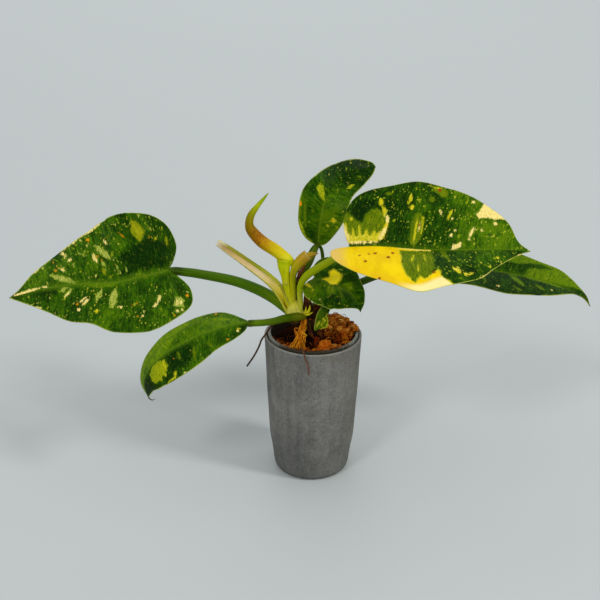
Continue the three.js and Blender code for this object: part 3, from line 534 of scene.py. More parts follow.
        slot="leaf_mid", rib_light=0.3, flecks=0.6, arch=30, ripple=(0.8, 55, 0),
        rib=[(124, 56, 209), (159, 56, 207), (195, 53, 202), (227, 49, 197), (258, 43, 190),
             (280, 37, 182), (289, 32, 173)],
        facing=[(0, -0.24, 0.97), (0.05, -0.24, 0.97), (0.3, -0.24, 0.92)],
        halves={
            LEFT: dict(
                fold=(12, 12, 10), shade=(0.4, 0.4, 0.4, 0.3, 0.2),
                outline=[(0, 0), (-10, 8), (-14, 20), (-4, 32), (20, 39), (50, 40), (75, 37), (93, 33),
                         (112, 28), (132, 25), (145, 18), (158, 9), (174, 0)],
                light=[((40, 44), (84, 40), (112, 34), (140, 26), (162, 8), (150, 6), (136, 2), (110, -1),
                        (97, 0), (101, 13), (113, 16), (126, 21), (113, 24), (102, 21), (88, 16),
                        (60, 22))]),
            RIGHT: dict(
                fold=(12, 12, 10), shade=(0.2, 0.2, 0.15, 0.1, 0.1),
                outline=[(0, 0), (-10, 8), (-14, 22), (-2, 33), (20, 36), (40, 37), (62, 39), (80, 40),
                         (98, 37), (113, 32), (128, 25), (140, 16), (152, 5), (160, 2), (174, 0)],
                light=[((97, -1), (104, 4), (118, 3), (134, 4), (140, -1)), (84, 5, 97, 20, 6.5),
                       (110, 13, 120, 19, 3.6), (87, 25, 95, 31, 3.2), (82, 2, 91, 1, 2.6),
                       (40, 6, 56, 24, 6), (20, 4, 26, 20, 5)],
                cream=[(70, 30, 1.2), (128, 14, 1.2)])}),
    "small": dict(
        slot="leaf_dark", rib_light=0.35, flecks=0.9, arch=55, ripple=(0.4, 30, 0),
        rib=[(1, 0, 216), (11, -4, 216), (21, -8, 214), (31, -14, 210), (40, -20, 205), (47, -27, 192)],
        facing=[(0, -0.45, 0.89), (0.2, -0.45, 0.87), (0.55, -0.5, 0.66)],
        # Its gold is brighter than the other leaves' gold: painted light that lifts it out of the shade of
        # the right leaf above.
        golds=((255, 226, 14), (255, 240, 40)),
        halves={
            LEFT: dict(
                fold=(10, 10, 8), shade=(0.6, 0.5, 0.5, 0.5, 0.4),
                outline=[(0, 0), (-6, 8), (-6, 17), (-2, 26), (8, 31), (22, 30), (34, 24), (42, 18),
                         (50, 12), (57, 7), (62, 0)],
                light=[((28, 3), (29, 7), (34, 12), (41, 6), (38, 1))],
                yellow=[((11, 11), (14, 16), (22, 14), (24, 10), (25, 5), (24, -2), (17, -2), (5, -1),
                         (13, 5))]),
            RIGHT: dict(
                fold=(10, 10, 8), shade=(0.9, 0.65, 0.42, 0.4, 0.36),
                outline=[(0, 0), (-5, 6), (-7, 16), (-2, 25), (8, 31), (20, 34), (34, 33), (46, 30),
                         (51, 26), (54, 16), (58, 4), (62, 0)],
                olive=[(25, 2, 44, 14, 1.8), (36, 29, 1.6), (8, 24, 2.4), (2, 22, 1.8)],
                light=[((16, 6), (24, 3), (31, 12), (25, 19), (18, 14))],
                yellow=[((9, -2), (25, -2), (22, 3), (16, 4)), (-8, 9, 1, 14, 4.6), (4, 17, 1.2)],
                cream=[(17, 27, 1)])}),
    "tiny": dict(
        slot="leaf_mid", rib_light=0.3, flecks=0.4, arch=60, ripple=(0, 20, 0),
        rib=[(17, -5, 187), (13, -9, 184), (7, -12, 177), (3, -15, 171), (1, -17, 165)],
        facing=[(0.5, -0.6, 0.6), (0.5, -0.75, 0.4), (0.5, -0.8, 0.3)],
        halves={
            LEFT: dict(
                fold=(30, 30, 20), shade=(0.3, 0.4, 0.6, 0.8, 0.9),
                outline=[(0, 0), (3, 2), (8, 4), (12, 7), (16, 10), (21, 10.5), (25, 7.5), (28, 3), (30, 0)],
                olive=[(12, 5, 24, 5, 5)],
                yellow=[(10, 6, 20, 10, 1.8), (20, 10, 27, 5, 1.4), (8, 2.5, 18, 6, 1.4),
                        (12, 2, 22, 5, 1), (18, 1, 26, 1, 1.6)]),
            RIGHT: dict(
                fold=(30, 30, 20), shade=(0.3, 0.7, 0.9, 0.95, 0.95),
                outline=[(0, 0), (0, 4), (6, 9), (14, 9), (22, 4), (30, 0)],
                pale=[(20, 1, 28, 1.5, 2)])}),
}

# The leaf stalks: centre line from the crown, radii, and display colours at base, middle and tip
STALKS = {
    "left": dict(
        path=[(-22, 0, 177), (-31, 4, 184), (-43, 9, 191), (-61, 13, 199), (-84, 16, 206), (-116, 17, 212),
              (-131, 15, 215)],
        radii=(5.2, 5.7, 5.7, 5.4, 5.1, 4.7, 4.5), colours=((88, 120, 2), (66, 104, 2), (64, 98, 2))),
    "right": dict(
        path=[(-14, -7, 177), (-13, -10, 190), (-14, -11, 203), (-13, -13, 216), (-8, -16, 226),
              (1, -20, 235), (12, -24, 244), (22, -27, 252)],
        radii=(2.8, 2.8, 3, 3.6, 4.2, 4.2, 4, 3.8), colours=((196, 194, 60), (152, 168, 6), (138, 152, 8)),
        slot="stalk_olive"),
    "low_left": dict(
        path=[(-8, -11, 178), (-15, -15, 180.5), (-29, -23, 182), (-39, -27, 181), (-50, -31, 181)],
        radii=(2.2, 4.2, 3.9, 3.5, 3.4), colours=((104, 112, 8), (66, 94, 2), (80, 108, 3)),
        neck=1.0, drop=2.3),
    "top": dict(
        path=[(-17, 1, 180), (-18, 1, 196), (-16, 4, 209), (-11, 11, 218), (-5, 17, 225), (-1, 21, 233)],
        radii=(3.2, 3.2, 3.4, 3.5, 3.3, 3), colours=((96, 110, 10), (56, 84, 3), (82, 106, 4))),
    "back_right": dict(
        path=[(-12, 3, 172), (-4, 8, 178), (17, 18, 186), (51, 32, 199), (85, 45, 206)],
        radii=(4, 4, 4, 3.8, 3.6), colours=((56, 80, 4), (44, 72, 3), (50, 80, 3))),
    "small": dict(
        path=[(-18, 5, 182), (-16, 14, 200), (-10, 22, 220), (-2, 28, 236), (4, 31, 240), (8, 33, 233),
              (9, 30, 221), (6, 14, 213)],
        radii=(2, 2, 1.9, 1.8, 1.8, 1.8, 1.8, 1.8), colours=((60, 88, 4), (58, 88, 3), (74, 104, 4))),
    "tiny": dict(
        path=[(-9, -2, 172), (0, 0, 181), (9, 0, 187)],
        radii=(1.6, 1.5, 1.4), colours=((90, 100, 10), (70, 92, 4), (76, 100, 6))),
}


# Leaf blades

def from_line(points, start, end):
    """Distance of points from a line between two ends, and their share of the way along it."""
    reach = end - start
    t = np.clip(((points - start) @ reach) / (reach @ reach), 0, 1)
    return np.linalg.norm(points - start - t[..., None] * reach, axis=-1), t


def from_marking(points, marking):
    """Distance of points from the edge of a dot, streak or patch, negative inside it."""
    marking = np.array(marking, float)
    if marking.shape == (3,):
        return np.linalg.norm(points - marking[:2], axis=-1) - marking[2]
    if marking.shape == (5,):
        distance, t = from_line(points, marking[:2], marking[2:4])
        return distance - 0.5 * marking[4] * np.sqrt(np.maximum(1 - (2 * t - 1) ** 2, 0.12))
    nearest = np.full(points.shape[:-1], np.inf)
    inside = np.zeros(points.shape[:-1], bool)
    for start, end in zip(marking, np.roll(marking, -1, 0)):
        nearest = np.minimum(nearest, from_line(points, start, end)[0])
        crosses = (start[1] > points[..., 1]) != (end[1] > points[..., 1])
        slope = (end[0] - start[0]) / ((end[1] - start[1]) or 1e-9)
        inside ^= crosses & (points[..., 0] < start[0] + slope * (points[..., 1] - start[1]))
    return np.where(inside, -nearest, nearest)


class LeafSurface:
    """The middle surface of a leaf, as the part makes it, for whole arrays of points."""

    def __init__(self, leaf):
        self.leaf = leaf
        rib = Curve(leaf["rib"])
        shares = np.linspace(0, 1, RIB_STEPS + 1)
        self.length = rib.length
        self.points = rib.at(shares)
        ahead = np.vstack([self.points[1:], self.points[-1:]])
        self.along = unit(ahead - np.vstack([self.points[:1], self.points[:-1]]))
        facing = Curve(leaf["facing"])
        up = np.stack([np.interp(shares, facing.parameter, column) for column in facing.points.T], -1)
        self.up = unit(up - (up * self.along).sum(1, keepdims=True) * self.along)

    def frame(self, x):
        place = np.clip(x / self.length, 0, 1) * RIB_STEPS
        index = np.minimum(place.astype(int), RIB_STEPS - 1)
        t = (place - index)[..., None]
        point, along, up = (row[index] + (row[index + 1] - row[index]) * t
                            for row in (self.points, self.along, self.up))
        along = unit(along)
        up = unit(up)
        beyond = np.minimum(x, 0) + np.maximum(x - self.length, 0)
        return point + along * beyond[..., None], along, up, np.cross(up, along)

    def place(self, x, y, half):
        point, _, up, side = self.frame(x)
        start = np.radians(evenly(self.leaf["halves"][half]["fold"], x / self.length))
        bend = math.radians(self.leaf["arch"]) / 100
        end = start - bend * y
        across = (np.sin(start) - np.sin(end)) / bend
        lift = (np.cos(end) - np.cos(start)) / bend
        height, wavelength, phase = self.leaf["ripple"]
        turn = 2 * np.pi * x / wavelength + phase + (0 if half > 0 else 2)
        lift = lift + height * np.clip(y / 60, 0, 1.2) ** 2 * np.sin(turn)
        return point + side * (half * across)[..., None] + up * lift[..., None]

    def normal(self, x, y, half):
        along_x = self.place(x + 1, y, half) - self.place(x - 1, y, half)
        across_y = self.place(x, y + 1, half) - self.place(x, np.maximum(y - 1, 0), half)
        return unit(half * np.cross(along_x, across_y))


def row_shares():
    """Shares of the way from the midrib to the margin, closer together at both ends."""
    t = np.linspace(0, 1, BLADE_ROWS - 2)
    return np.append(0.982 * (t - 0.05 * np.sin(2 * np.pi * t)), [0.993, 1.0])


def leaf_traits(leaf, half, length, walk, along_vein, x, y, to_margin):
    """What the leaf's material reads at each point. Half 0 is the midrib, with the marks of both."""
    tones = {}
    for tone in ("dark", "olive", "light", "yellow", "pale", "cream", "spot"):
        nearest = np.full(x.shape, MARKING_REACH)
        for side in (LEFT, RIGHT) if half == 0 else (half,):
            for marking in leaf["halves"][side].get(tone, ()):
                nearest = np.minimum(nearest, from_marking(np.stack([x, y], -1), marking))
        tones[tone] = np.maximum(nearest, -MARKING_REACH)
    share = np.clip(x / length, 0, 1)
    shade = evenly(leaf["halves"][half or LEFT]["shade"], share)
    return {
        "vein": np.stack([walk, along_vein, np.full(x.shape, half * HALF_SHIFT)], -1),
        "flat": np.stack([x, (half or 1) * y, shade], -1),
        "marks": np.stack([tones["dark"], tones["olive"], tones["light"]], -1),
        "spots": np.stack([tones["yellow"], tones["pale"], tones["cream"]], -1),
        "edges": np.stack([tones["spot"], to_margin, share], -1),
    }


def blade_arrays(leaf):
    """Points, faces, traits and face materials of a blade: two faces joined at a thin margin."""
    surface = LeafSurface(leaf)
    length = surface.length
    rows = row_shares()
    last = len(rows) - 1
    main = int(math.ceil(length / BLADE_STEP))
    stations = length * np.arange(main + 1) / main

    def swell(x):
        """How far the midrib stands out along the blade, from 0 to 1."""
        return np.sin(np.pi * np.sqrt(np.clip(x / length, 0, 1)))

    point, _, up, _ = surface.frame(stations)
    points = [point + up * (BLADE_THICKNESS / 2 - RIB_GROOVE * swell(stations))[:, None],
              point - up * (BLADE_THICKNESS / 2 + RIB_RIDGE * swell(stations))[:, None]]
    zero = np.zeros(main + 1)
    rib_traits = leaf_traits(leaf, 0, length, stations, zero, stations, zero, zero + RIB_TO_MARGIN)
    traits = {key: [layer, layer] for key, layer in rib_traits.items()}
    quads = []
    quad_materials = []
    count = 2 * (main + 1)
    for half in (LEFT, RIGHT):
        outline = Curve(leaf["halves"][half]["outline"])
        lobe_share = 0.0
        while outline.at(lobe_share)[0] < LOBE_REACH * length:
            lobe_share += 0.005
        lobe = lobe_share * outline.length
        fan = max(4, int(math.ceil(lobe / BLADE_STEP)))
        total = fan + main
        i = np.arange(total + 1)
        rib = np.maximum(i - fan, 0)
        station = (length * rib / main)[:, None]
        past_lobe = lobe_share + (1 - lobe_share) * (i - fan) / main
        edge = outline.at(np.where(i < fan, lobe_share * i / fan, past_lobe))
        x = station + (edge[:, :1] - station) * rows ** VEIN_BEND
        y = edge[:, 1:] * rows
        width = np.hypot(edge[:, :1] - station, edge[:, 1:])
        walk = np.where(i < fan, -0.9 * lobe * (1 - i / fan), station[:, 0])[:, None]
        walk = walk + VEIN_SWAY * np.sin(0.11 * walk + half)
        phase = walk / VEIN_SPACING
        from_vein = np.abs(phase - np.round(phase)) * VEIN_SPACING
        present = smoothstep(0.02, 0.12, rows) * (1 - smoothstep(0.82, 1.0, rows))
        present = present * np.clip(width / 30, 0, 1)
        crease = VEIN_CREASE * np.exp(-(from_vein / VEIN_CREASE_WIDTH) ** 2)
        relief = present * (-VEIN_SWELL * np.cos(2 * np.pi * phase) - crease)
        relief = relief - RIB_GROOVE * np.exp(-(y / 1.5) ** 2) * swell(x)
        keel = RIB_RIDGE * swell(x) * np.exp(-(y / 1.9) ** 2)
        to_margin = (1 - rows) * width
        half_thick = (BLADE_THICKNESS + (BLADE_EDGE_THICKNESS - BLADE_THICKNESS) * rows) / 2
        rounding = np.sqrt(1 - (1 - np.clip(to_margin / MARGIN_ROUNDING, 0, 1)) ** 2)
        half_thick = MARGIN_HALF_THICKNESS + (half_thick - MARGIN_HALF_THICKNESS) * rounding
        middle = surface.place(x, y, half)
        normal = surface.normal(x, y, half)
        top = middle + normal * (half_thick + relief * rounding)[..., None]
        bottom = middle - normal * (half_thick + keel - 0.6 * relief * rounding)[..., None]
        along_vein = np.hypot(x - station, y)
        layers = leaf_traits(leaf, half, length, walk + 0 * x, along_vein, x, y, to_margin)
        inner = slice(1, total)
        grid = np.arange((total - 1) * last).reshape(total - 1, last)
        for face, body in enumerate((top, bottom)):
            index = np.empty((total + 1, last + 1), int)
            index[:] = (rib + face * (main + 1))[:, None]
            index[inner, 1:] = grid + count
            count += grid.size
            points.append(body[inner, 1:].reshape(-1, 3))
            for key, layer in layers.items():
                traits[key].append(layer[inner, 1:].reshape(-1, 3))
            ring = [index[:-1, :-1], index[1:, :-1], index[1:, 1:], index[:-1, 1:]]
            if (half > 0) == (face > 0):
                ring.reverse()
            quads.append(np.stack(ring, -1).reshape(-1, 4))
            quad_materials += [face] * (total * last)
            if face == 0:
                upper_edge = index[:, -1]
            else:
                rim = [upper_edge[:-1], upper_edge[1:], index[1:, -1], index[:-1, -1]]
                if half < 0:
                    rim.reverse()
                quads.append(np.stack(rim, -1))
                quad_materials += [0] * total
    faces = []
    face_materials = []
    for quad, which in zip(np.concatenate(quads).tolist(), quad_materials):
        corners = list(dict.fromkeys(quad))
        if len(corners) > 2:
            faces.append(corners)
            face_materials.append(which)
    traits = {key: np.concatenate(layers) for key, layers in traits.items()}
    return np.concatenate(points), faces, traits, face_materials


def leaf_material(name, leaf, underside):
    """Green, dark green, olive, yellow and cream sectors with torn edges, over fine flecks."""
    shader = Shader(f"leaf_{name}_{'under' if underside else 'upper'}")
    flat = shader.trait("flat")
    x, y, shade = shader.split(flat)
    dark, olive, light = shader.split(shader.trait("marks"))
    yellow, pale, cream = shader.split(shader.trait("spots"))
    spot, margin, length_share = shader.split(shader.trait("edges"))

    plane = shader.scaled(flat, (1, 1, 0))
    bent = shader.warped(shader.trait("vein"), plane, 0.3, 4)
    fibre = shader.noise(bent, (0.5, 0.1, 0.1), 4, 0.65)
    thread = shader.noise(bent, (1.5, 0.2, 0.1), 2)
    broad = shader.noise(bent, (0.06, 0.035, 0.1))
    grain = shader.noise(plane, 0.9, 3, 0.7)
    tear = fibre.around(11) + grain.around(5)
    wobble = fibre.around(7) + grain.around(5)

    def inside(distance, edge, soft):
        return (distance + edge).ramp(soft, -soft)

    def mottled(value, stops):
        """Colours of a marking, broken up by the fine grain."""
        return shader.ramp(value + grain.around(1.3), stops)

    value = shade + broad.around(1.6) + fibre.around(1.8) + grain.around(1.2)
    shader.colour = shader.ramp(value, GREEN_STOPS)
    # Dark marks are the leaf's own dark green, except the left leaf's patch by its tip, which is painted
    # shade.
    shader.paint(inside(dark, tear, 3), shader.ramp(value - 0.42, GREEN_STOPS))
    shader.paint(inside(light, tear, 1.4), shader.ramp(fibre, leaf.get("light_stops", LIGHT_STOPS)))
    shader.paint(thread.ramp(0.58, 0.72) * 0.45, (118, 138, 14))

    crowd = shader.noise(plane, 0.045, 2, 0.5).ramp(0.38, 0.62)
    for cell, share, low, high, strength, colours in FLECKS:
        distance, (draw, size, shift) = shader.cells(shader.scaled(bent, (*cell, 0.1)), 1)
        size = size * ((high - low) * leaf["flecks"]) + low * leaf["flecks"]
        limit = (crowd * (0.8 * share) + 0.4 * share) * dark.ramp(-5, 3)
        fleck = (distance - size + grain.around(0.35)).ramp(0.03, -0.05)
        colours = leaf.get("fleck_colours", colours)
        stops = [(k / (len(colours) - 1), *colour) for k, colour in enumerate(colours)]
        shader.paint(fleck * shader.math("LESS_THAN", draw, limit) * strength, shader.ramp(shift, stops))

    shader.paint(inside(olive, tear, 0.7), mottled(fibre, leaf.get("olive_stops", OLIVE_STOPS)))
    pale_colour = mottled(thread, leaf.get("pale_stops", PALE_STOPS))
    shader.paint(inside(pale, tear * leaf.get("pale_tear", 0.8), 0.7), pale_colour)
    gold = shader.mix(broad.ramp(0.35, 0.65), *leaf.get("golds", GOLDS))
    if name == "right":
        # Its gold half is warmer along the margin, dull at the base, and cream where the gold ends
        gold = shader.mix(margin.ramp(14, 0) * 0.55, gold, (226, 178, 28))
        gold = shader.mix(x.ramp(2, -15), gold, (222, 188, 92))
        fade = (x * -0.2 + 5 + margin + grain.around(3)).ramp(3, -3) * x.ramp(44, 66)
        gold = shader.mix(fade * y.ramp(-8, -20), gold, CREAM)
    gold = shader.mix(yellow.ramp(-0.4, -2.4), mottled(thread, LIME_STOPS), gold)
    shader.paint(inside(yellow, wobble, 0.5), gold)
    shader.paint(inside(cream, wobble, 0.5), mottled(thread, CREAM_STOPS))
    spot_edge = grain.around(5) - leaf.get("spot_growth", -0.35)
    shader.paint(inside(spot, spot_edge, 0.5), leaf.get("spot_colour", ORANGE))

    from_rib = shader.math("ABSOLUTE", y)
    rib_end = leaf.get("rib_end", 0.95)
    plain = shader.math("MINIMUM", yellow, cream).ramp(0, 1.5) * length_share.ramp(rib_end, rib_end - 0.25)
    shader.paint((from_rib + fibre.around(9)).ramp(6, 0.5) * plain * leaf["rib_light"], (78, 112, 9))
    shader.paint(from_rib.ramp(1.3, 0.4) * plain * leaf.get("line", 0.25), (112, 136, 22))
    shader.paint(margin.ramp(1.1, 0.3) * broad.ramp(0.32, 0.55) * 0.75, (168, 180, 64))
    if underside:
        shader.paint(0.35, (104, 136, 36))
    return shader.finish(0.55 if underside else 0.36, 0.03, thread + grain * 0.5, 0.0001, 0.3)


for name, leaf in LEAVES.items():
    points, faces, traits, face_materials = blade_arrays(leaf)
    materials = [leaf_material(name, leaf, underside) for underside in (False, True)]
    make_piece(f"leaf_blade_{name}", f"blade_{name}", leaf["slot"], materials, points, faces, traits,
               face_materials)


# Stalks, sheaths and the crown

def stalk_section(sides=36, ribs=9, depth=0.035):
    """Round, with fine ribs and a shallow channel along its upper side."""
    outline = circle(sides) * (1 + depth * np.cos(2 * np.pi * ribs * np.arange(sides) / sides))[:, None]
    outline[:, 1] -= 0.2 * smoothstep(0.55, 1.0, outline[:, 1])
    return outline


def rolled_section(sides=40):
    """One turn of a spiral with the step of its free edge, and a faint overlap beside it."""
    radius = 1 - 0.16 * np.arange(sides - 1) / (sides - 1)
    return np.vstack([circle(sides - 1) * radius[:, None], [[0.83, -0.04]]])


def channel_section(half_angle, thickness, steps, ragged=0.0):
    """A crescent that is open towards +Y and thin at its two edges. Ragged is how much it is torn."""
    share = np.linspace(-1, 1, steps)
    angle = np.radians(-90 + share * half_angle)
    inner = 1 - thickness * (1 - 0.6 * np.abs(share))

    def section(along):
        torn = 1 + ragged * math.sin(61 * along) * np.sin(9 * share + 40 * along)
        outer = np.stack([np.cos(angle), np.sin(angle)], -1) * torn[:, None]
        return np.vstack([outer, (outer * inner[:, None])[::-1]])

    return section


def colour_tube(shader, stops, streaks):
    """Colours a tube along its length, under fine lengthwise streaks. Gives the streaks' height."""
    trait = shader.trait("tube")
    thread = shader.noise(trait, (3.0, 4.5, 4.5))
    cloud = shader.noise(shader.place(), 160, 3, 0.55)
    shader.colour = shader.ramp(shader.split(trait)[0] + cloud.around(0.12), stops)
    shader.paint(thread.ramp(0.52, 0.72) * (0.4 * streaks), (214, 206, 70))
    shader.paint(thread.ramp(0.48, 0.3) * (0.45 * streaks), (20, 34, 2))
    return thread + cloud * 0.4


def add_tube(name, node, slot, material, bodies):
    points, faces, traits = joined(bodies)
    make_piece(name, node, slot, [material], points, faces, {"tube": traits})


def add_stalk(name, node, slot, stops, *bodies, streaks=0.35, roughness=0.42, specular=0.05):
    """A piece of swept bodies, with one range of colours along them."""
    shader = Shader(name)
    height = colour_tube(shader, stops, streaks)
    add_tube(name, node, slot, shader.finish(roughness, specular, height), bodies)


def add_sheath(name, node, slot, *bodies, low_side, high_side, inner):
    """A piece of dry channels, with a range of colours for each outer side and one for the inside."""
    shader = Shader(name)
    colours = []
    for stops, streaks in ((low_side, 0.4), (high_side, 0.4), (inner, 0.25)):
        height = colour_tube(shader, stops, streaks)
        colours.append(shader.colour)
    _, across, inside = shader.split(shader.trait("tube"))
    shader.colour = shader.mix(across.ramp(0.3, -0.3), *colours[:2])
    shader.paint(inside.ramp(0.05, -0.05), colours[2])
    add_tube(name, node, slot, shader.finish(0.6, 0.05, height, strength=0.5), bodies)


def stalk_body(stalk, leaf):
    """The stalk, carried on to the underside of its leaf's base."""
    point, along, up, _ = (v[0] for v in LeafSurface(leaf).frame(np.zeros(1)))
    end = stalk["radii"][-1]
    neck = stalk.get("neck", 0.75) * end
    tip = 0.35 * end
    drop = stalk.get("drop", 0.8 + 0.8 * neck)
    path = [*stalk["path"], point - 1.5 * along - drop * up, point + 6 * along - (1.9 + 0.8 * tip) * up]

    def joint(shares):
        """A slight swelling where the stalk meets the blade."""
        return 0.09 * end * np.exp(-((shares - 0.9) / 0.035) ** 2)

    return sweep(path, (*stalk["radii"], neck, tip), stalk_section(), bumps=joint)


for name, stalk in STALKS.items():
    base, middle, tip = stalk["colours"]
    joint_colour = tuple(0.62 * c for c in tip)
    stops = [(0, *base), (0.12, *base), (0.3, *middle), (0.82, *tip), (0.9, *joint_colour), (0.96, *tip)]
    add_stalk(f"stalk_{name}", f"petiole_{name}", stalk.get("slot", "stalk_green"), stops,
              stalk_body(stalk, LEAVES[name]))

HOOK_PATH = [(-164, -59.6, 110), (-163, -60, 108.6), (-160.6, -60.5, 107.8), (-157.6, -61, 109.6)]
add_stalk("leaf_tip_hook", "blade_low_left", "leaf_mid",
          [(0, 40, 66, 6), (0.5, 74, 62, 22), (1, 110, 92, 48)],
          sweep(HOOK_PATH, (0.5, 0.6, 0.5, 0.2), circle(8), step=0.6))

NEW_LEAF_PATH = [(-21, 0, 232), (-27, 0, 236), (-39, 0, 246), (-52, 0, 255), (-62, 0, 266), (-65, 0, 274),
                 (-63, 0, 284), (-57, 0, 293), (-50, 0, 302), (-46, 0, 307)]
NEW_LEAF_RADII = (3.4, 6.3, 6.7, 6.6, 5.8, 4.5, 3.9, 2.7, 1.5, 0.5)
NEW_LEAF_STALK_PATH = [(-21, -3, 182), (-24.5, -3, 191), (-26.5, -3, 198), (-27.7, -2.5, 208),
                       (-28.5, -2, 218), (-29.5, -1, 228), (-30, -0.5, 234)]
COLLAR_PATH = [(-28, -2.5, 211), (-29, -2.5, 221), (-30.2, -2.5, 229.5), (-29.8, -1.5, 238)]
LEFT_SHEATH_PATH = [(-23, -4, 181), (-28.5, -5, 191), (-33.5, -6, 201.5), (-38.5, -6.5, 210.5),
                    (-47, -7, 219.3), (-61, -6.5, 230.4), (-73.5, -5.5, 239.6), (-86, -4.5, 248.5),
                    (-96.5, -4, 256)]
LEFT_SHEATH_RADII = (5.5, 4.3, 4.8, 5.8, 5.6, 5.0, 4.6, 4.2, 3.4)
MIDDLE_SHEATH_PATH = [(-19.5, -4, 183), (-20.8, -4, 194), (-21, -4, 208), (-21, -4, 220), (-18.8, -4, 229),
                      (-13.6, -3, 236), (-6, -2, 243)]
MIDDLE_SHEATH_RADII = (3.2, 3.0, 3.0, 3.2, 4.6, 5.8, 5.6)
FLAP_PATH = [(-14, -3, 234), (-9, -3, 240), (-3, -2, 243), (4, -1, 244)]


def creases(shares):
    """Fine folds across the rolled leaf where it bends."""
    return 0.22 * np.sin(190 * shares) * np.exp(-((shares - 0.5) / 0.08) ** 2)


shader = Shader("new_leaf_roll")
height = colour_tube(shader, [
    (0, 190, 196, 10), (0.1, 214, 206, 34), (0.22, 206, 184, 10), (0.34, 184, 144, 8), (0.44, 156, 98, 6),
    (0.54, 140, 100, 4), (0.64, 134, 114, 4), (0.74, 140, 140, 8), (0.85, 168, 182, 16),
    (1, 120, 150, 10)], 0.45)
trait = shader.trait("tube")
share, _, _ = shader.split(trait)
folds = shader.noise(trait, (55, 0.9, 0.9), 2, 0.5).ramp(0.5, 0.64)
shader.paint(folds * share.ramp(0.32, 0.42) * share.ramp(0.66, 0.54) * 0.6, (92, 48, 4))
add_tube("new_leaf_roll", "new_leaf", "spike_yellow", shader.finish(0.42, 0.05, height),
         [sweep(NEW_LEAF_PATH, NEW_LEAF_RADII, rolled_section(), (0.5, -0.6, 0.6), 0.8, creases)])

add_stalk("new_leaf_stalk_ribbed", "new_leaf_stalk", "stalk_olive",
          [(0, 206, 202, 60), (0.15, 204, 200, 30), (0.35, 196, 198, 8), (0.8, 186, 196, 6),
           (1, 176, 188, 8)],
          sweep(NEW_LEAF_STALK_PATH, (4.6, 4.6, 4.4, 4.1, 4.1, 4.6, 5.0), stalk_section(36, 7, 0.07), FRONT),
          sweep(COLLAR_PATH, (3.6, 4.6, 6.2, 8.0), channel_section(100, 0.2, 22), (0.2, 0.95, 0.1)),
          streaks=0.5)

add_sheath("sheath_left_curl", "sheath_left", "sheath_beige",
           sweep(LEFT_SHEATH_PATH, LEFT_SHEATH_RADII, channel_section(148, 0.16, 30, 0.03),
                 ((0.1, -0.95, 0.25), (-0.05, -1, 0.05))),
           low_side=[(0, 206, 200, 60), (0.3, 206, 196, 60), (0.6, 190, 176, 50), (1, 206, 196, 150)],
           high_side=[(0, 200, 196, 80), (0.3, 170, 170, 50), (0.6, 128, 134, 20), (0.9, 140, 134, 40),
                      (1, 210, 200, 160)],
           inner=[(0, 244, 230, 50), (0.2, 246, 232, 70), (0.36, 252, 238, 160), (0.5, 254, 240, 202),
                  (0.75, 248, 228, 170), (0.93, 224, 202, 140), (1, 236, 230, 216)])

points, faces, traits = sweep(FLAP_PATH, (1.0, 4.2, 3.2, 0.4), channel_section(100, 0.16, 22, 0.1),
                              ((0.3, 0.9, 0), (0.1, 0.95, 0.3)))
flap = (points, faces, traits * (0.25, 1, 1) + (0.72, 0, 0))
add_sheath("sheath_middle_curl", "sheath_middle", "stalk_olive",
           sweep(MIDDLE_SHEATH_PATH, MIDDLE_SHEATH_RADII, channel_section(112, 0.28, 26, 0.04),
                 ((0.6, 0.7, 0), (0.35, 0.9, 0))), flap,
           low_side=[(0, 206, 200, 50), (0.3, 172, 172, 10), (0.55, 150, 152, 8), (0.75, 160, 146, 12),
                     (0.9, 168, 134, 28), (0.97, 172, 138, 40), (1, 176, 146, 70)],
           high_side=[(0, 216, 206, 60), (0.3, 196, 192, 8), (0.55, 188, 184, 8), (0.75, 172, 156, 14),
                      (0.9, 176, 142, 34), (0.97, 180, 146, 56), (1, 190, 164, 96)],
           # The inside is painted darker than the outside: painted shade in the channel.
           inner=[(0, 120, 110, 20), (0.5, 112, 106, 12), (0.8, 130, 96, 20), (1, 160, 128, 50)])

add_stalk("crown_base", "stem", "stalk_olive",
          [(0, 120, 112, 20), (0.25, 176, 172, 50), (0.5, 216, 210, 90), (1, 206, 200, 50)],
          sweep([(-17.5, -5, 175), (-18, -5, 181), (-19.3, -4.5, 187), (-20.5, -4, 193)],
                (8.8, 9.6, 7.8, 2.6), stalk_section(48, 12, 0.06), FRONT, 0.8),
          streaks=0.6, roughness=0.5)

SCALES = (([(-7, -3, 176), (-6, -4, 186), (-7, -4, 196), (-9, -4, 206)], (6.5, 5.5, 3.2, 0.5)),
          ([(-4, -2, 175), (2, -1, 183), (8, 1, 187), (12, 3, 188)], (6.5, 6.0, 3.5, 0.5)),
          ([(-15, -2, 206), (-14.5, -4, 216), (-13.5, -6, 225), (-9, -6, 233)], (1.8, 3.0, 2.6, 0.4)),
          ([(-7, -9, 173), (-5, -12, 167), (-2, -13, 160), (1, -13, 154)], (3.2, 3.0, 2.2, 0.5)),
          ([(-3, -6, 172), (3, -9, 166), (7, -10, 159), (9, -10, 154)], (3.6, 3.0, 2.0, 0.5)))
add_stalk("dry_scales", "stem", "stem_bark", [(0, 34, 18, 8), (0.5, 64, 28, 14), (1, 120, 58, 34)],
          *(sweep(path, radii, channel_section(85, 0.2, 14, 0.08), ((-0.3, 1, 0.2), (0.1, 1, 0.5)))
            for path, radii in SCALES), streaks=0.8, roughness=0.8)

STEM_PATH = [(-18, -3, 185), (-17, -4, 177), (-12, -4, 167), (-5, -3, 156), (0, -2, 140), (2, -1, 122)]


def stem_rings(shares):
    """The ring left by each fallen sheath."""
    phase = (shares * 5.3) % 1
    return 0.8 * np.exp(-((phase - 0.2) / 0.12) ** 2) - 0.25


